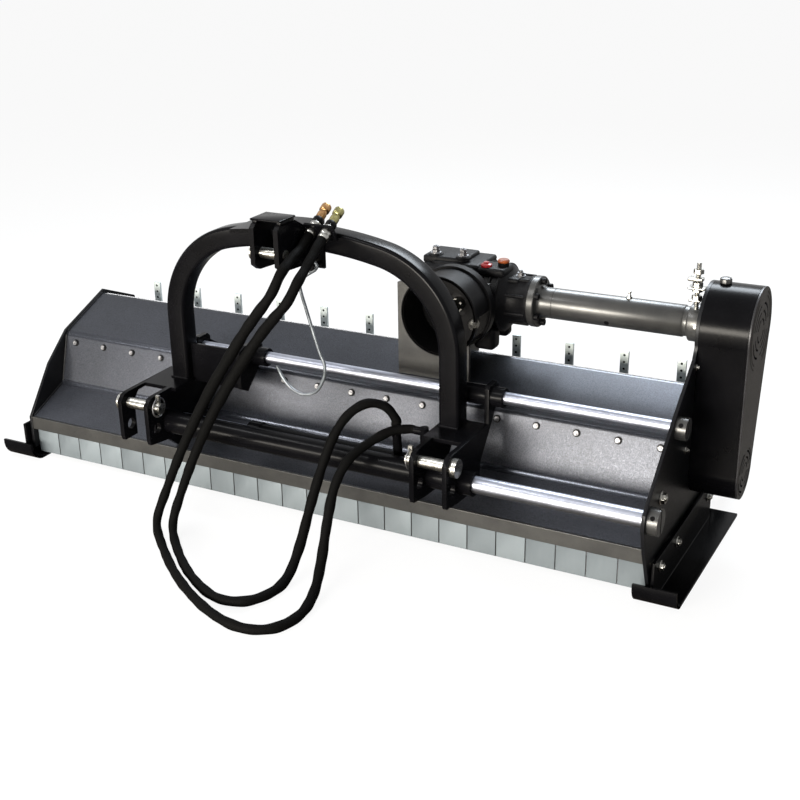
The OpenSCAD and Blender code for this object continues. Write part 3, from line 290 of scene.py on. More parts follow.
# Rounded block: each direction of a sphere gives a corner of the inset box plus the radius along that
# direction, so that the eight corners are round and the faces between them stay flat.
def addBlock(store, low, high, radius, steps=5):
    low, high = np.array([low, high], float)
    inset = (high - low) / 2 - radius
    q = np.linspace(0, np.pi / 2, steps)
    u = np.concatenate([q + k * np.pi / 2 for k in range(4)])[None, :, None]
    v = np.concatenate([q - np.pi / 2, q])[:, None, None]
    normal = np.concatenate([np.cos(v) * np.cos(u), np.cos(v) * np.sin(u), np.sin(v) + 0 * u], 2)
    signs = np.stack([np.repeat([1, -1, -1, 1], steps), np.repeat([1, 1, -1, -1], steps)], 1)
    corner = np.empty(normal.shape)
    corner[..., :2] = signs[None]
    corner[..., 2] = np.repeat([-1, 1], steps)[:, None]
    addGrid(store, at((low + high) / 2 + corner * inset + radius * normal), fillEnds=True)


# Straight run: a closed (y, z) section repeated at each station along X, with both ends filled.
def addRun(store, section, stations):
    shape = (len(stations), len(section))
    x = np.broadcast_to(np.asarray(stations, float)[:, None], shape)
    y, z = (np.broadcast_to(column, shape) for column in section.T)
    addGrid(store, at(np.stack([x, y, z], 2)), fillEnds=True)


# Smooth path: a Catmull-Rom curve through the points, sampled evenly inside each stretch.
def smoothPath(points, perStretch):
    p = np.asarray(points, float)
    p = np.vstack([2 * p[0] - p[1], p, 2 * p[-1] - p[-2]])
    t = np.linspace(0, 1, perStretch, endpoint=False)[None, :, None]
    a, b, c, d = (p[k:len(p) - 3 + k, None, :] for k in range(4))
    curve = 0.5 * (2 * b + (c - a) * t + (2 * a - 5 * b + 4 * c - d) * t ** 2
        + (3 * b - a - 3 * c + d) * t ** 3)
    return np.vstack([curve.reshape(-1, 3), p[-2]])


sideStart = (0.3, 0.2, 0.9)  # where a tube's first side direction points, about


# Path frames: the tangents, and a side direction turned along the path without twist.
def pathFrames(path, start=sideStart):
    start = np.array(start)
    tangent = unit(np.gradient(path, axis=0))
    side = np.zeros_like(path)
    side[0] = unit(start - tangent[0] * (start @ tangent[0]))
    for i in range(1, len(path)):
        side[i] = unit(side[i - 1] - tangent[i] * (side[i - 1] @ tangent[i]))
    return side, np.cross(tangent, side)


# Round tube: circles of a radius that may change along the path, closed at both ends by a shrinking ring.
def addTube(store, path, radius, sides, start=sideStart):
    side, up = pathFrames(path, start)
    size = np.pad(np.broadcast_to(radius, len(path)), 1)
    path, side, up = (np.vstack([a[:1], a, a[-1:]]) for a in (path, side, up))
    u = around(sides)[None, :, None]
    ring = np.cos(u) * side[:, None] + np.sin(u) * up[:, None]
    addGrid(store, path[:, None] + size[:, None, None] * ring)


creaseDegrees = 38  # faces that meet at more than this keep a sharp edge


def placePiece(mesh, name, material, body, stands, bevelMm=0):
    mesh.shade_smooth()
    mesh.set_sharp_from_angle(angle=math.radians(creaseDegrees))
    mesh.materials.clear()
    mesh.materials.append(materials[material])
    piece = bpy.data.objects.new(name, mesh)
    scene.collection.objects.link(piece)
    if bevelMm:
        soft = piece.modifiers.new("edges", "BEVEL")
        soft.width, soft.segments, soft.limit_method = bevelMm * mm, 2, "ANGLE"
        soft.angle_limit, soft.harden_normals = math.radians(creaseDegrees), True
    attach(piece, body)
    if stands:
        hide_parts(*stands)
    return piece


def makePiece(store, name, material, body, stands=()):
    mesh = bpy.data.meshes.new(name)
    mesh.from_pydata(np.vstack(store["points"]).tolist(), [], store["faces"])
    shape = bmesh.new()
    shape.from_mesh(mesh)
    bmesh.ops.remove_doubles(shape, verts=shape.verts, dist=1e-7)
    bmesh.ops.recalc_face_normals(shape, faces=shape.faces)
    shape.to_mesh(mesh)
    shape.free()
    return placePiece(mesh, name, material, body, stands)


# A copy of a CAD node with its points merged, its flat faces whole again and its edges softened.
def dressNode(node, material, bevelMm):
    shape = bmesh.new()
    shape.from_mesh(nodes[node].data)
    bmesh.ops.remove_doubles(shape, verts=shape.verts, dist=2e-6)
    bmesh.ops.dissolve_limit(shape, angle_limit=math.radians(0.6), verts=shape.verts, edges=shape.edges)
    name = node + "_dressed"
    mesh = bpy.data.meshes.new(name)
    shape.to_mesh(mesh)
    shape.free()
    return placePiece(mesh, name, material, bodyOf[node], (node,), bevelMm)


def pointsOf(piece):  # a piece's points as an array
    spots = np.zeros(len(piece.data.vertices) * 3)
    piece.data.vertices.foreach_get("co", spots)
    return spots.reshape(-1, 3)


# Which finish each node has, and how far its edges are rounded in millimetres
dressed = {
    "platePaint": ("plate_paint", {"left_side_plate": 1.2, "right_side_plate": 1.2}),
    "blackPaint": ("black_paint", {"rail_bracket": 1.2, "guard_rim": 0.8, "left_skid": 1.5, "right_skid": 1.5,
        "roller_arms": 1.2, "top_link_bracket": 1.6, "carriage_left": 1.4, "carriage_right": 1.4,
        "rail_bushes": 1.2, "cylinder_barrel": 1.0, "rear_roller": 1.5}),
    "greyPaint": ("grey_paint", {"front_bar": 1.2, "rail_collars": 1.5, "gearbox_bracket": 1.0}),
    "guardGrey": ("grey_paint", {"guard_face": 0.6}),
    "castBlack": ("cast_black", {"bearings": 1.5}),
    "chromeRod": ("chrome_rod", {"cylinder_rod": 1.0}),
    "brightZinc": ("bright_zinc", {"hitch_pins": 1.2, "linch_pins": 0.8, "flap_rod": 0.5}),
    "zincSheet": ("zinc_sheet", {"tine_bar": 1.0, "rake_tines": 0.8}),
    "dullZinc": ("zinc_sheet", {"linch_ring_left": 0, "linch_ring_right": 0}),
    "flapZinc": ("zinc_sheet", {f"flap_group_{k}": 0.3 for k in range(1, 5)}),
    "turnedSteel": ("turned_steel", {"input_shaft": 0.6, "drive_shaft": 0.8}),
    "iron": ("iron", {"rotor_tube": 0.8, "rotor_lugs": 0.8, **{f"flail_row_{k}": 1.2 for k in range(1, 5)},
        "upper_pulley": 0.6, "lower_pulley": 0.6, "bevel_gear": 0.6}),
    "blackPlastic": ("black_plastic", {"pto_guard": 1.2}),
    "beltRubber": ("belt_rubber", {"drive_belts": 0.8}),
}
for finish, (slotName, members) in dressed.items():
    for node, edge in members.items():
        dressNode(node, finish, edge)
print("nodes dressed:", sum(len(m) for s, m in dressed.values()))

# Rails: ground rods as long and thick as their nodes, with a chamfer at both ends
rails = {"nodes": ("upper_rail", "lower_rail"), "chamfer": 1, "steps": 72}
for node in rails["nodes"]:
    low, high = ((np.array(corner) - deckZero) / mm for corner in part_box(node))
    radius, long = (high[2] - low[2]) / 2, high[0] - low[0]
    inner, edge = radius - rails["chamfer"], rails["chamfer"]
    store = newStore()
    addTurned(store, [(0, 0), (inner, 0), (radius, edge), (radius, long - edge), (inner, long), (0, long)],
        (low[0], *(low + high)[1:] / 2), (1, 0, 0), rails["steps"])
    makePiece(store, node + "_rod", "chromeRod", bodyOf[node], (node,))

# Hood: one bent sheet, its bends rolled to a radius and smooth for a few millimetres round each corner
hood = {"line": [(hoodFront, 122), (116, 178), (158, 316), (330, 387), (462, 330), (462, 190)], "sheet": 4,
    "bend": 24, "half": 888, "arcSteps": 7, "stations": 25, "smooth": 9}


# Bent line: each corner becomes an arc that touches both sides, the arc's points worked out together.
def bentLine(line, radius, steps):
    p = np.asarray(line, float)
    a, b, c = p[:-2], p[1:-1], p[2:]
    into, out = unit(b - a), unit(c - b)
    turn = np.arccos(np.clip((into * out).sum(1), -1, 1))
    reach = radius * np.tan(turn / 2)
    t = np.linspace(0, 1, steps)[None, :, None]
    first, last = (b - into * reach[:, None])[:, None], (b + out * reach[:, None])[:, None]
    arc = (1 - t) ** 2 * first + 2 * t * (1 - t) * b[:, None] + t ** 2 * last
    return np.vstack([p[:1], arc.reshape(-1, p.shape[1]), p[-1:]])


# Sheet section: the bent line, and the same line one thickness inside it.
def sheetSection(line, thickness):
    along = unit(np.gradient(line, axis=0))
    inside = line + np.stack([along[:, 1], -along[:, 0]], 1) * thickness
    return np.vstack([line, inside[::-1]])


store = newStore()
section = sheetSection(bentLine(hood["line"], hood["bend"], hood["arcSteps"]), hood["sheet"])
addRun(store, section, np.linspace(-hood["half"], hood["half"], hood["stations"]))
hoodPiece = makePiece(store, "hood_sheet", "deckPaint", "deck", ("deck_shell",))
corners = at([(0, y, z) for y, z in hood["line"][1:-1]])
near = np.linalg.norm((pointsOf(hoodPiece)[:, None] - corners[None])[..., 1:], axis=2).min(1) / mm
bendShare = np.where(near < hood["smooth"], 1.0, 0.0)
hoodPiece.data.attributes.new("bend", "FLOAT", "POINT").data.foreach_set("value", bendShare)
print("hood bent")

# Hitch arch: rectangular tube with rounded corners, carried up one leg, over the crown and down the other
arch = {"half": 410, "width": 52, "front": 15, "depth": 55, "foot": 308, "top": 745, "shoulderR": 250,
    "crownR": 1000, "cornerR": 9, "legSteps": 8, "shoulderSteps": 26, "crownSteps": 31, "cornerSteps": 6}


# Arch line: straight leg, shoulder arc and crown arc on the right, mirrored on the left. The shoulder arc
# meets the crown arc where their centres line up.
def archLine(a):
    shoulder, crown = (a[k] - a["width"] / 2 for k in ("shoulderR", "crownR"))
    middle = a["half"] - a["shoulderR"]
    meet = math.asin(middle / (a["crownR"] - a["shoulderR"]))
    crownZ = a["top"] - a["crownR"]
    shoulderZ = crownZ + (a["crownR"] - a["shoulderR"]) * math.cos(meet)
    legX, steps = a["half"] - a["width"] / 2, a["legSteps"]
    leg = np.stack([np.full(steps, legX), np.linspace(a["foot"], shoulderZ, steps, endpoint=False)], 1)
    s = np.linspace(0, np.pi / 2 - meet, a["shoulderSteps"], endpoint=False)
    bend = np.stack([middle + shoulder * np.cos(s), shoulderZ + shoulder * np.sin(s)], 1)
    c = np.linspace(meet, -meet, a["crownSteps"])
    over = np.stack([crown * np.sin(c), crownZ + crown * np.cos(c)], 1)
    right = np.vstack([leg, bend])
    return np.vstack([right, over, right[::-1] * [-1, 1]])


# Rounded rectangle: quarter circles at the four corners of a width by depth section.
def roundedBox(width, depth, radius, steps):
    q = np.linspace(0, np.pi / 2, steps)
    corner = radius * np.stack([np.cos(q), np.sin(q)], 1) + [width / 2 - radius, depth / 2 - radius]
    return np.vstack([corner, corner[::-1] * [-1, 1], corner * [-1, -1], corner[::-1] * [1, -1]])


store = newStore()
line = archLine(arch)
along = unit(np.gradient(line, axis=0))
across = np.stack([along[:, 1], -along[:, 0]], 1)  # outwards, in the arch's plane
box = roundedBox(arch["width"], arch["depth"], arch["cornerR"], arch["cornerSteps"])
flatPoints = line[:, None] + across[:, None] * box[None, :, :1]
deep = np.broadcast_to(arch["front"] + arch["depth"] / 2 + box[:, 1], flatPoints.shape[:2])
archGrid = np.stack([flatPoints[..., 0], deep, flatPoints[..., 1]], 2)
addGrid(store, at(archGrid), fillEnds=True)
makePiece(store, "hitch_arch_tube", "blackPaint", "hitch", ("hitch_arch",))
print("arch carried along its line")

# Drive shaft hook: bent round wire from its eye on the stud down to the open bowl
hook = {"eye": (57, -20, 668), "eyeR": 9.5, "eyeSteps": 36, "wire": 4, "sides": 14, "perStretch": 7,
    "path": [(5, -9), (-26, -30), (-39, -52), (-23, -112), (5, -202), (20, -242), (16, -276), (-6, -312),
    (-41, -326), (-73, -318), (-97, -296), (-115, -264)]}
store = newStore()
wirePath = np.array([(dx, 0, dz) for dx, dz in hook["path"]], float) + hook["eye"]
addTube(store, at(smoothPath(wirePath, hook["perStretch"])), hook["wire"] * mm, hook["sides"])
# Eye: a ring of wire, the wire's circle carried round the eye's circle
u, v = around(hook["eyeSteps"])[:, None], around(hook["sides"])[None, :]
eyeR = hook["eyeR"] + hook["wire"] * np.cos(v)
eyeGrid = np.stack([eyeR * np.cos(u), hook["wire"] * np.sin(v) + 0 * u, eyeR * np.sin(u)], 2)
addGrid(store, at(eyeGrid + np.array(hook["eye"])), closedRows=True)
makePiece(store, "shaft_hook_wire", "zincWire", "hook", ("pto_hook",))

# Hoses: fabric-sleeved, from their ferrules over the link plate, down to the ground loop and up to the ports.
# A bulge is a share of the radius, its distance from that end in metres and its spread.
hose = {"diameter": 22, "lie": 13, "coupler1": (52, -23, 741), "coupler2": (95, -38, 739),
    "lead": (0, 38.1, 22), "wave": 0.085, "waveMm": 74, "beat": 2.7, "topBulge": (0.24, 0.42, 0.24),
    "endBulge": (0.1, 0.5, 0.3), "sides": 24, "perStretch": 9}
couplerOne, couplerTwo, lead = (np.array(hose[k], float) for k in ("coupler1", "coupler2", "lead"))
low = hose["lie"]
hoseRoutes = {
    "hose_outer": [couplerOne, couplerOne - lead, (52, -104, 706), (50, -148, 682), (36, -172, 638),
        (-8, -178, 580), (-55, -180, 516), (-150, -190, 368), (-223, -205, 228), (-279, -215, 103),
        (-292, -244, 32), (-227, -312, low), (-96, -425, low), (40, -508, low), (148, -540, low),
        (218, -514, low), (243, -440, low), (226, -350, 18), (204, -278, 56), (193, -228, 128),
        (190, -184, 200), (202, -138, 252), (226, -86, 278), (262, -40, 298), (298, -12, 300),
        (312, -12, 300)],
    "hose_inner": [couplerTwo, couplerTwo - lead, (95, -114, 692), (94, -152, 666), (80, -176, 626),
        (42, -180, 582), (-12, -180, 516), (-110, -188, 371), (-183, -200, 231), (-231, -215, 111),
        (-246, -240, 32), (-175, -318, low), (-72, -405, low), (30, -458, low), (100, -446, low),
        (134, -388, low), (136, -320, 18), (132, -256, 64), (131, -196, 148), (136, -150, 222),
        (150, -116, 290), (174, -86, 340), (208, -54, 364), (242, -26, 352), (262, -12, 318),
        (262, -12, 304)],
}
# woven nylon sleeve: dull black yarn, drawn about twice as coarse as real yarn, so that it shows
sleeveLook = {"dark": "#010101", "mid": "#040404", "light": "#060606", "yarnMm": 3.2, "gap": 0.12,
    "lift": 0.5, "liftMm": 0.4, "Roughness": 0.72, "Specular IOR Level": 0.04}


# Weave: bricks two yarns long and one wide, read from the tube's own UV map, which counts yarns.
def sleeveMaterial(name, look):
    material, tree, surface = startMaterial(name, look)
    uv = addNode(tree, "UVMap", {"uv_map": "weave"}).outputs["UV"]
    weave = addNode(tree, "TexBrick", {"Scale": 1.0, "Brick Width": 2.0, "Row Height": 1.0,
        "Mortar Size": look["gap"], "Mortar Smooth": 0.6, "Color1": linear(look["light"]),
        "Color2": linear(look["mid"]), "Mortar": linear(look["dark"])}, {"Vector": uv})
    lift = addNode(tree, "Bump", {"Strength": look["lift"], "Distance": look["liftMm"] * mm,
        "invert": True}, {"Height": weave.outputs["Fac"]})
    join(tree, surface, {"Base Color": weave.outputs["Color"], "Normal": lift.outputs["Normal"]})
    return material


# Bulge: a bell curve of the distance along the hose.
def bulgeAlong(distance, bulge):
    share, place, spread = bulge
    return share * np.exp(-((distance - place) / spread) ** 2)


materials["wovenSleeve"] = sleeveMaterial("wovenSleeve", sleeveLook)
for name, route in hoseRoutes.items():
    path = at(smoothPath(route, hose["perStretch"]))
    run = np.concatenate([[0], np.cumsum(np.linalg.norm(np.diff(path, axis=0), axis=1))])
    phase = 2 * np.pi * run / (hose["waveMm"] * mm)
    wave = np.sin(phase) * np.sin(phase / hose["beat"] + 1)
    loose = bulgeAlong(run, hose["topBulge"]) + bulgeAlong(run[-1] - run, hose["endBulge"])
    radius = hose["diameter"] / 2 * mm * (1 + hose["wave"] * wave + loose)
    store = newStore()
    addTube(store, path, radius, hose["sides"])
    piece = makePiece(store, name + "_sleeve", "wovenSleeve", "hitch", (name,))
    # UV: the angle round the nearest path point and the run up to it, both in yarns
    spots = pointsOf(piece)
    nearest = ((spots[:, None] - path[None]) ** 2).sum(2).argmin(1)
    side, up = pathFrames(path)
    off = spots - path[nearest]
    angle = np.arctan2((off * up[nearest]).sum(1), (off * side[nearest]).sum(1))
    corner = np.zeros(len(piece.data.loops), np.int32)
    piece.data.loops.foreach_get("vertex_index", corner)
    yarnMm = sleeveLook["yarnMm"]
    uv = np.stack([angle[corner] * hose["diameter"] / 2 / yarnMm, run[nearest][corner] / (yarnMm * mm)], 1)
    layer = piece.data.uv_layers.new(name="weave")
    layer.data.foreach_set("uv", uv.astype(np.float32).ravel())
    print(name, "length", round(float(run[-1]), 3), "m")


# Bolt: a flat washer, a chamfered hexagon and the end of the thread, one above the other along the axis.
def addBolt(store, base, axis, radius, height, washer, tail=0):
    base, axis = np.asarray(base, float), unit(axis)
    face, rim, thread, tip = (radius * share for share in (1.3, 1.35, 0.5, 0.38))
    edge, point = 0.4, 1
    if washer:
        addTurned(store, [(0, 0), (face, 0), (rim, edge), (rim, washer - edge), (face, washer), (0, washer)],
            base, axis, 28)
    addHex(store, base + axis * washer, axis, radius, height)
    if tail:
        low, high = washer + height - point, washer + height + tail
        addTurned(store, [(0, low), (thread, low), (thread, high - point), (tip, high), (0, high)],
            base, axis, 20)


# Socket screw: a round head with a cupped recess half as deep as the head.
def addSocketScrew(store, base, axis, radius, height):
    addTurned(store, [(0, 0), (radius, 0), (radius, height - 1), (radius - 1, height),
        (radius * 0.55, height), (radius * 0.5, height * 0.5), (0, height * 0.5)], base, axis, 24)


# Fasteners on the deck, in deck millimetres: a bolt's size is its radius, height, washer and thread end
panel = {"bolts": 18, "pitch": 100, "spot": (150.7, 292), "axis": (0, -0.9567, 0.2912),
    "size": (6.4, 5, 0, 1.5), "washer": [(0, 0), (9, 0), (9.4, 0.4), (9.4, 1.2), (9, 1.6), (0, 1.6)]}
tine = {"count": 12, "span": 1596, "spot": (478, 285), "size": (8, 5.4, 1.6)}
skid = {"y": (4, 130, 390), "z": 78, "seatX": 896, "seat": [(0, 0), (14, 0), (14, 4), (0, 4)], "x": 908,
    "size": (9.5, 6, 1.8, 3)}
plate = {"bolts": [(896, 14, 238, 12.5), (896, 185, 283, 7), (896, 228, 468, 7)],
    "height": 0.7, "rest": (2, 3)}
flange = {"x": 488, "bolts": 6, "radius": 51, "size": (8, 10), "axis": (320, 540)}
tineX = np.linspace(-0.5, 0.5, tine["count"]) * tine["span"]
boltStore, panelStore, shadeRingStore, screwStore = (newStore() for k in range(4))
for i in range(panel["bolts"]):
    spot = np.array([(i - (panel["bolts"] - 1) / 2) * panel["pitch"], *panel["spot"]])
    # the washers under the panel bolts are black: a painted shade ring round each bolt head
    addTurned(shadeRingStore, panel["washer"], spot, panel["axis"], 28)
    spot = spot + panel["washer"][-1][1] * np.array(panel["axis"])
    addBolt(panelStore, spot, panel["axis"], *panel["size"])
for x in tineX:
    addBolt(boltStore, (x, *tine["spot"]), (0, 1, 0), *tine["size"])
for side in (-1, 1):
    for y in skid["y"]:
        addTurned(boltStore, skid["seat"], (side * skid["seatX"], y, skid["z"]), (side, 0, 0))
        addBolt(boltStore, (side * skid["x"], y, skid["z"]), (side, 0, 0), *skid["size"])
for *spot, radius in plate["bolts"]:
    addBolt(boltStore, spot, (1, 0, 0), radius, radius * plate["height"], *plate["rest"])
makePiece(boltStore, "bright_bolts", "brightZinc", "deck", ("deck_bolts",))
makePiece(panelStore, "panel_bolts", "dullZinc", "deck", ("deck_bolts",))
# painted shade: the panel washers in cast black stand for the dark ring round each bolt head
makePiece(shadeRingStore, "panel_shade_washers", "castBlack", "deck", ("deck_bolts",))
for angle in around(flange["bolts"]) + math.pi / 6:
    spot = np.array(flange["axis"]) + flange["radius"] * np.array([math.cos(angle), math.sin(angle)])
    addSocketScrew(screwStore, (flange["x"], *spot), (1, 0, 0), *flange["size"])
makePiece(screwStore, "flange_screws", "castBlack", "deck")
print("fasteners set")

# Hose ends: a crimped ferrule, a dark nut and a brass coupler with an open end
hoseEnd = {"axis": (0, 0.866, 0.5), "steps": 36,
    "ferrule": [(0, 0), (12, 0), (13, 2), (13, 10), (12.2, 11.5), (13, 13), (13, 24), (12.2, 25.5), (13, 27),
    (13, 36), (12, 38), (0, 38)],
    "nut": [(0, 38), (12.5, 38), (13.2, 39), (13.2, 51), (12, 53), (0, 53)],
    "body": [(0, 52), (10.5, 52), (11, 54), (11, 70), (9.4, 72), (9.4, 77), (11.8, 79), (12.4, 81),
    (12.4, 94), (11.4, 97), (10, 98), (8, 98), (7.4, 96), (0, 96)]}
ferruleStore, nutStore = newStore(), newStore()
ends = {"coupler_left": (couplerOne, "copperBrass"), "coupler_right": (couplerTwo, "couplerBrass")}
for name, (spot, metal) in ends.items():
    store = newStore()
    for part, target in (("body", store), ("ferrule", ferruleStore), ("nut", nutStore)):
        addTurned(target, hoseEnd[part], spot, hoseEnd["axis"], hoseEnd["steps"])
    makePiece(store, name, metal, "hitch", ("hose_couplers",))
makePiece(ferruleStore, "crimped_ferrules", "brightZinc", "hitch", ("hose_ferrules",))
makePiece(nutStore, "coupler_nuts", "blackPlastic", "hitch")

# Grease nipples: a hexagon foot, a neck and a ball tip, at a place and along an axis
nipple = {"foot": (7, 5), "line": [(0, 4), (4, 4), (4, 8), (2.8, 10), (2.8, 12), (4, 13), (4.3, 15),
    (3.6, 17.5), (1.4, 18), (0, 18)],
    "spots": [((704, 320, 576.5), (0, 0, 1)), ((876, 276.5, 545), (0, -1, 0.1))]}
store = newStore()
for spot, axis in nipple["spots"]:
    addHex(store, spot, axis, *nipple["foot"])
    addTurned(store, nipple["line"], spot, axis, 20)
makePiece(store, "grease_nipples", "brightZinc", "deck")
print("fittings made")

# Gearbox: a rounded casting, a ribbed bearing neck towards the drive tube, a nose round the input, webs along
# the neck, lugs below and pads on top; a block is two corners and its edge radius
gearbox = {"box": ((187, 244, 448), (350, 396, 622), 24), "axis": (320, 540), "neckX": 336, "steps": 56,
    "neck": [(0, 0), (78, 0), (80, 4), (80, 66), (76, 71), (60, 80), (57, 84), (57, 120), (60, 126),
    (60, 134), (0, 134)], "inputX": 312, "noseY": 246,
    "nose": [(0, 0), (70, 0), (70, 6), (66, 9), (56, 12), (53, 16), (53, 20), (0, 20)],
    "ribX": (352, 374, 396), "rib": [(70, 0), (82, 0), (84, 1.5), (84, 4.5), (82, 6), (70, 6)],
    "lugs": [((336, 256, 418), (392, 300, 476), 12), ((200, 262, 436), (250, 380, 470), 12),
    ((336, 350, 424), (388, 386, 476), 12)], "webs": 8, "webX": (404, 464), "webReach": 58, "webR": 4.5,
    "webSteps": 7, "pads": [((222, 262, 612), (346, 380, 627), 7), ((340, 262, 604), (412, 330, 624), 8),
    ((392, 286, 584), (440, 352, 598), 7)]}
store = newStore()
axisY, axisZ = gearbox["axis"]
addBlock(store, *gearbox["box"], 7)
addTurned(store, gearbox["neck"], (gearbox["neckX"], axisY, axisZ), (1, 0, 0), gearbox["steps"])
addTurned(store, gearbox["nose"], (gearbox["inputX"], gearbox["noseY"], axisZ), (0, -1, 0), gearbox["steps"])
for x in gearbox["ribX"]:
    addTurned(store, gearbox["rib"], (x, axisY, axisZ), (1, 0, 0), gearbox["steps"])
for lug in gearbox["lugs"]:
    addBlock(store, *lug)
webX = np.linspace(*gearbox["webX"], gearbox["webSteps"])
for k in range(gearbox["webs"]):
    turn = math.tau * (k + 0.5) / gearbox["webs"]
    y, z = axisY + gearbox["webReach"] * math.cos(turn), axisZ + gearbox["webReach"] * math.sin(turn)
    addTube(store, at(np.stack([webX, np.full_like(webX, y), np.full_like(webX, z)], 1)),
        gearbox["webR"] * mm, 10)
for pad in gearbox["pads"]:
    addBlock(store, *pad)
makePiece(store, "gearbox_casting", "castBlack", "deck", ("gearbox_housing",))

# Plugs beside the lid: each one's finish, slot, node, foot and line
plugs = {
    "red_filler_plug": ("redPlastic", "red_plastic", "filler_plug", (360, 280, 621),
        [(0, 0), (13, 0), (14, 2), (14, 7), (12, 9), (7, 10.5), (7, 13), (6, 14), (0, 14)]),
    "amber_breather_cap": ("brownPlastic", "brown_plastic", "breather_plug", (396, 300, 621),
        [(0, 12), (14, 12), (14.5, 13), (14.5, 16), (12, 19), (0, 20)]),
    "breather_stem": ("blackPlastic", "black_plastic", "breather_plug", (396, 300, 621),
        [(0, 0), (13, 0), (13.5, 1), (13.5, 12), (0, 12)]),
}
for name, (finish, slotName, node, foot, line) in plugs.items():
    store = newStore()
    addTurned(store, line, foot, (0, 0, 1), 30)
    makePiece(store, name, finish, "deck", (node,))

# Lid on the gearbox: two studs with a nut each on round seats, and one bolt on the neck
lid = {"block": ((193, 272, 616), (305, 368, 636), 6), "x": (221, 294), "y": 290, "seatZ": 634,
    "seat": [(0, 0), (19, 0), (19, 3), (17, 5), (0, 5)], "studZ": 639, "stud": (10, 7, 2.4, 10), "nutZ": 650,
    "nut": (9, 6), "neckBolt": (433, 320, 597), "neckSize": (9, 7, 2.4, 6)}
lidStore, lidBolts = newStore(), newStore()
addBlock(lidStore, *lid["block"])
for x in lid["x"]:
    addTurned(lidStore, lid["seat"], (x, lid["y"], lid["seatZ"]), (0, 0, 1))
    addBolt(lidBolts, (x, lid["y"], lid["studZ"]), (0, 0, 1), *lid["stud"])
    addHex(lidBolts, (x, lid["y"], lid["nutZ"]), (0, 0, 1), *lid["nut"])
addBolt(lidBolts, lid["neckBolt"], (0, 0, 1), *lid["neckSize"])
makePiece(lidStore, "gearbox_lid", "castBlack", "deck", ("gearbox_cover",))
makePiece(lidBolts, "lid_bolts", "dullZinc", "deck", ("gearbox_cover",))

# Drive tube: machined flange, thin groove, long tube, waist and end collar
tube = {"start": (470, 320, 540), "steps": 64, "line": [(30, 0), (60, 0), (62, 2), (62, 16), (60, 18),
    (43, 18), (40, 20), (38, 24), (37, 30), (37, 54), (36.2, 54.6), (36.2, 56.4), (37, 57), (37, 366),
    (35.5, 368), (34.6, 370), (34.6, 378), (37, 380), (43, 382), (44, 384), (44, 414), (42, 418),
    (30, 418), (30, 0)]}
store = newStore()
addTurned(store, tube["line"], tube["start"], (1, 0, 0), tube["steps"])
makePiece(store, "turned_drive_tube", "greyPaint", "deck", ("drive_tube",))

# Input drum: thicker rings at both ends, each with its place along Y, width and radius
drum = {"centre": (312, 540), "wall": 91.5, "edge": 1.5, "rings": [(112, 10, 98), (192, 24, 101)],
    "steps": 72, "bolt": (402, 116, 533), "boltAxis": (0.75, -0.66, 0), "boltSize": (8, 5, 2.4),
    "boltSeat": [(0, -4), (13, -4), (14, -1), (14, 1.6), (0, 1.6)]}
store = newStore()
drumX, drumZ = drum["centre"]
wall, edge = drum["wall"], drum["edge"]
for y, wide, radius in drum["rings"]:
    addTurned(store, [(wall, 0), (radius - edge, 0), (radius, edge), (radius, wide - edge),
        (radius - edge, wide), (wall, wide), (wall, 0)], (drumX, y, drumZ), (0, 1, 0), drum["steps"])
makePiece(store, "drum_rings", "blackPlastic", "deck")

# Belt tensioner: threaded stud with nuts and clamp lugs above the tube's end, and the drum's bolt
tension = {"foot": (868, 289, 580), "top": 690, "stud": 6, "pitch": 2.5, "depth": 1.2, "nut": (12, 10),
    "nutZ": (604, 622, 634, 664), "lugR": 2.5, "lugs": [((848, 276, 628), (888, 302, 634)),
    ((846, 280, 646), (880, 298, 655)), ((850, 282, 598), (878, 296, 604))]}
rise = np.arange(0, tension["top"] - tension["foot"][2], tension["pitch"] / 2)
thread = np.where(np.arange(len(rise)) % 2, tension["stud"], tension["stud"] - tension["depth"])
studLine = np.vstack([[0, 0], np.stack([thread, rise], 1), [0, rise[-1]]])
store = newStore()
addTurned(store, studLine, tension["foot"], (0, 0, 1), 24)
for z in tension["nutZ"]:
    addHex(store, (*tension["foot"][:2], z), (0, 0, 1), *tension["nut"])
for low, high in tension["lugs"]:
    addBlock(store, low, high, tension["lugR"], 4)
addBolt(store, drum["bolt"], drum["boltAxis"], *drum["boltSize"])
addTurned(store, drum["boltSeat"], drum["bolt"], drum["boltAxis"])
makePiece(store, "tension_stud", "brightZinc", "deck", ("belt_tensioner",))

# Guard knob: a low cap on the guard's top edge, turned from a line whose rim is cut back in ten scallops
knob = {"foot": (922, 320, 640), "steps": 60, "scallops": 10, "cut": 0.05, "rim": 11,
    "line": [(0, 0), (12, 0), (13.5, 1.5), (13.5, 9), (12, 12), (7, 13.5), (0, 14)]}
store = newStore()
u = around(knob["steps"])
knobR, knobZ = (column[:, None] for column in np.array(knob["line"]).T)
knobR = knobR * (1 - knob["cut"] * (np.cos(knob["scallops"] * u) < 0) * (knobR > knob["rim"]))
knobGrid = np.stack([knobR * np.cos(u), knobR * np.sin(u), np.broadcast_to(knobZ, knobR.shape)], 2)
addGrid(store, at(knobGrid + knob["foot"]))
makePiece(store, "guard_cap_knob", "greyPaint", "deck", ("guard_knob",))
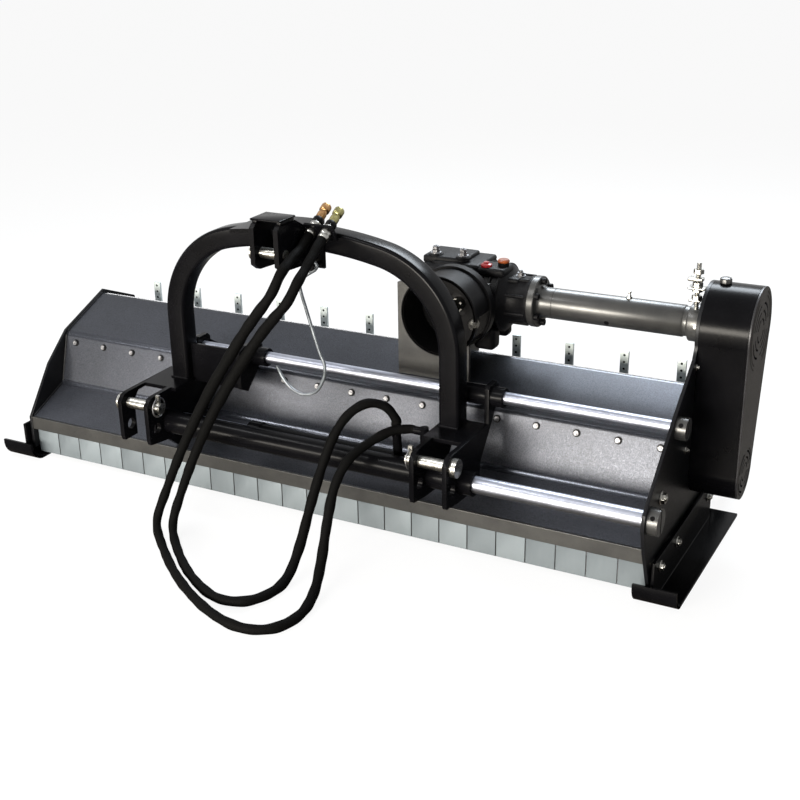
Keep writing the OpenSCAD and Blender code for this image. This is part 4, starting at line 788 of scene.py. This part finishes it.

# Painted shade: flat dark discs stand for the shade in a hole in the drive tube, in the set screw seats in
# the rail collars and in holes along each tine, and flat dark arcs round both shaft lines stand for the shade
# in the pressed louvre lines on the guard's face
holeShade = {"tubeHole": (662, 289.2, 519.5), "tubeAxis": (0, -0.832, -0.555),
    "tubeLine": [(0, 0.4), (6, 0.4), (6.8, -0.6)], "collars": [(105, 368, 26), (-62, 218, 31)],
    "collarX": 908, "collarAxis": (0, -0.8, 0.6), "collarLine": [(0, 0.6), (5, 0.6), (5.6, -0.6)],
    "tineY": 470, "tineZ": (379, 361, 343), "tineLine": [(0, 0.3), (3, 0.3), (3.4, -0.3)],
    "faceX": 1008.3, "wide": 4, "louvres": [(320, 540, 78), (320, 540, 88), (295, 205, 54)],
    "arc": (115, 245), "arcSteps": 30}
store = newStore()
addTurned(store, holeShade["tubeLine"], holeShade["tubeHole"], holeShade["tubeAxis"], 24)
for y, z, radius in holeShade["collars"]:
    spot = np.array([holeShade["collarX"], y, z]) + radius * np.array(holeShade["collarAxis"])
    addTurned(store, holeShade["collarLine"], spot, holeShade["collarAxis"], 20)
for x in tineX:
    for z in holeShade["tineZ"]:
        addTurned(store, holeShade["tineLine"], (x, holeShade["tineY"], z), (0, -1, 0), 14)
for y, z, radius in holeShade["louvres"]:
    for half in (0, 180):
        turn = np.radians(np.linspace(*holeShade["arc"], holeShade["arcSteps"]) + half)[:, None]
        reach = np.array([radius, radius + holeShade["wide"]])[None]
        arcY, arcZ = y + reach * np.cos(turn), z + reach * np.sin(turn)
        addGrid(store, at(np.stack([np.full_like(arcY, holeShade["faceX"]), arcY, arcZ], 2)), closedColumns=False)
makePiece(store, "painted_hole_shade", "blackPlastic", "deck")

# Top link saddle: a thin cover that closes the two plates above the gap; each block's corners and radius
saddle = [((-38, -120, 780), (-26, -62, 791), 1.5), ((26, -120, 780), (38, -62, 791), 1.5),
    ((-40, -126, 790), (40, -58, 795), 2)]
store = newStore()
for block in saddle:
    addBlock(store, *block, 3)
makePiece(store, "top_link_saddle", "blackPaint", "hitch")

# Skid toes: the sole's curl carried on past the front, an arc of one sheet thickness run across the skid
toe = {"centre": (-16, 48), "radius": (40, 48), "x": (866, 966), "span": (262, 170), "steps": 20}
turn = np.radians(np.linspace(*toe["span"], toe["steps"]))
curl = np.stack([np.cos(turn), np.sin(turn)], 1)
inside, outside = (np.array(toe["centre"]) + r * curl for r in toe["radius"])
for name, side in (("skid_toe_left", -1), ("skid_toe_right", 1)):
    store = newStore()
    addRun(store, np.vstack([inside, outside[::-1]]), np.array(toe["x"]) * side)
    makePiece(store, name, "blackPaint", "deck")

# Weld beads: a tube whose radius rises and falls like overlapping scales along the seam
weld = {"radius": 3.6, "scale": 5.0, "ripple": 0.2, "sides": 8, "start": (0.31, 0.5, 0.2),
    "plateX": (-38, -26, 26, 38), "plate": (14, 668, 740), "footX": [(-410, -358), (358, 410)],
    "foot": [(15, 309), (70, 309)], "endX": (-887, 887),
    "end": [((-10, 124), (112, 177)), ((119, 184), (156, 311)), ((163, 319), (326, 386))]}
plateY, plateLow, plateHigh = weld["plate"]
seams = {
    "hitch": [[(x, plateY, plateLow), (x, plateY, plateHigh)] for x in weld["plateX"]]
        + [[(low, *spot), (high, *spot)] for spot in weld["foot"] for low, high in weld["footX"]],
    "deck": [[(x, *first), (x, *last)] for x in weld["endX"] for first, last in weld["end"]],
}
for body, finish in (("hitch", "blackPaint"), ("deck", "platePaint")):
    store = newStore()
    for first, last in seams[body]:
        long = np.linalg.norm(np.subtract(last, first))
        t = np.linspace(0, 1, int(long / weld["scale"] * 4) + 2)
        ripple = weld["ripple"] * np.abs(np.sin(np.pi * t * long / weld["scale"]))
        bead = np.array(first) * (1 - t[:, None]) + np.array(last) * t[:, None]
        radius = weld["radius"] * (1 - weld["ripple"] + ripple) * mm
        addTube(store, at(bead), radius, weld["sides"], weld["start"])
    makePiece(store, body + "_welds", finish, body)
print("casting, tube, drum, stud and welds made")

# Camera at the photograph's angle
camera = {"place": (1577, -2484, 1493.6), "azimuth": 29.557, "elevation": 23.41, "roll": -1.59,
    "focalPx": 1292.86, "centrePx": (364.1, 434.4), "frame": 800, "sensor": 36}
a, e, r = (math.radians(camera[k]) for k in ("azimuth", "elevation", "roll"))
back = np.array([math.sin(a) * math.cos(e), -math.cos(a) * math.cos(e), math.sin(e)])
right = np.array([math.cos(a), math.sin(a), 0])
up = np.cross(back, right)
right, up = right * math.cos(r) + up * math.sin(r), up * math.cos(r) - right * math.sin(r)
lens = bpy.data.cameras.new("camera")
lens.sensor_width = camera["sensor"]
lens.lens = camera["focalPx"] / camera["frame"] * camera["sensor"]
lens.shift_x = 0.5 - camera["centrePx"][0] / camera["frame"]
lens.shift_y = camera["centrePx"][1] / camera["frame"] - 0.5
lens.clip_end = 100
eye = bpy.data.objects.new("camera", lens)
scene.collection.objects.link(eye)
turned = np.eye(4)
turned[:3] = np.stack([right, up, back, at(camera["place"])], 1)
eye.matrix_world = Matrix(turned.tolist())
scene.camera = eye

# White studio: floor and backdrop are white to the eye, and the lamps stay at a plain level. Sizes in metres.
studio = {"floor": "#f4f4f4", "floorHalf": 20, "floorZ": -0.0005, "glow": 0.91, "fill": 0.42,
    "ground": "#4a4238", "groundLow": (-5, -6), "groundHigh": (5, 3), "groundZ": 0.0004}


# Share of a ray that sees the backdrop itself: camera, glossy and transmission rays do, others don't.
def seenShare(tree):
    rays = addNode(tree, "LightPath").outputs
    seen = addNode(tree, "Math", {"operation": "MAXIMUM"},
        {0: rays["Is Camera Ray"], 1: rays["Is Glossy Ray"]})
    seen = addNode(tree, "Math", {"operation": "MAXIMUM"},
        {0: seen.outputs[0], 1: rays["Is Transmission Ray"]})
    return seen.outputs[0]


def stageCard(name, low, high, z, material):  # a flat rectangle that belongs to the studio
    mesh = bpy.data.meshes.new(name)
    mesh.from_pydata([(*low, z), (high[0], low[1], z), (*high, z), (low[0], high[1], z)], [], [(0, 1, 2, 3)])
    mesh.materials.append(material)
    card = bpy.data.objects.new(name, mesh)
    scene.collection.objects.link(card)
    return card


world = bpy.data.worlds.new("studio")
scene.world = world
world.use_nodes = True
sky = world.node_tree
sky.nodes.clear()
level = addNode(sky, "MapRange", {"To Min": studio["fill"], "To Max": 1.0}, {"Value": seenShare(sky)})
light = addNode(sky, "Background", {"Color": (1, 1, 1, 1)}, {"Strength": level.outputs["Result"]})
addNode(sky, "OutputWorld", links={"Surface": light.outputs[0]})

floorMaterial, tree = startMaterial("whiteFloor", {})[:2]
tree.nodes.clear()
share = addNode(tree, "Math", {"operation": "MULTIPLY", 1: studio["glow"]}, {0: seenShare(tree)})
matt = addNode(tree, "BsdfDiffuse", {"Color": linear(studio["floor"])})
glow = addNode(tree, "Emission", {"Color": (1, 1, 1, 1), "Strength": 1.0})
mixed = addNode(tree, "MixShader", links={0: share.outputs[0], 1: matt.outputs[0], 2: glow.outputs[0]})
addNode(tree, "OutputMaterial", links={"Surface": mixed.outputs[0]})
half = studio["floorHalf"]
stageCard("floor", (-half, -half), (half, half), studio["floorZ"], floorMaterial)
earth = startMaterial("darkGround", {"Base Color": linear(studio["ground"])})[0]
# only reflections see the ground card: metal gets a darker underside
ground = stageCard("ground_card", studio["groundLow"], studio["groundHigh"], studio["groundZ"], earth)
ground.visible_camera = ground.visible_diffuse = ground.visible_shadow = ground.visible_transmission = False

plain, warm, cool = (1, 1, 1), (1, 0.94, 0.84), (0.86, 0.93, 1)
lamps = {  # place, aim and size in metres; the lamps marked hood light the hood's bends and nothing else
    "strip": {"place": (-1.15, -1.2, 2.8), "aim": (0.1, 0.1, 0.2), "size": (2.4, 0.2), "watts": 40,
        "tint": plain},
    "frontBox": {"place": (0, -4.1, 0.85), "aim": (0.6, 0, 0.25), "size": (1.7, 0.9), "watts": 330,
        "tint": warm},
    "sideBox": {"place": (-1.6, -3.5, 0.75), "aim": (0, 0, 0.25), "size": (2.0, 0.8), "watts": 150,
        "tint": warm},
    "backBox": {"place": (0.2, 2.1, 2.8), "aim": (0.5, 0.2, 0.4), "size": (1.9, 1.0), "watts": 195,
        "tint": cool},
    "bendLine": {"place": (-1.2, -1.95, 2.3), "aim": (-1.2, 0.1, 0.2), "size": (2.4, 0.4), "watts": 130,
        "tint": plain, "hood": True},
    "ridgeLine": {"place": (-1.4, 2.85, 0.95), "aim": (0, 0.3, 0.4), "size": (3.2, 0.5), "watts": 36,
        "tint": plain, "hood": True},
}
hoodOnly = bpy.data.collections.new("hood_only")
hoodOnly.objects.link(hoodPiece)
for name, lamp in lamps.items():
    data = bpy.data.lights.new(name, "AREA")
    data.shape, data.size, data.size_y, data.energy = "RECTANGLE", *lamp["size"], lamp["watts"]
    data.color = lamp["tint"]
    held = bpy.data.objects.new(name, data)
    held.visible_camera = False
    if "hood" in lamp:
        held.light_linking.receiver_collection = hoodOnly
    scene.collection.objects.link(held)
    held.location = lamp["place"]
    held.rotation_euler = (Vector(lamp["aim"]) - Vector(lamp["place"])).to_track_quat("-Z", "Y").to_euler()
scene.view_settings.view_transform = "Standard"
print("studio lit")
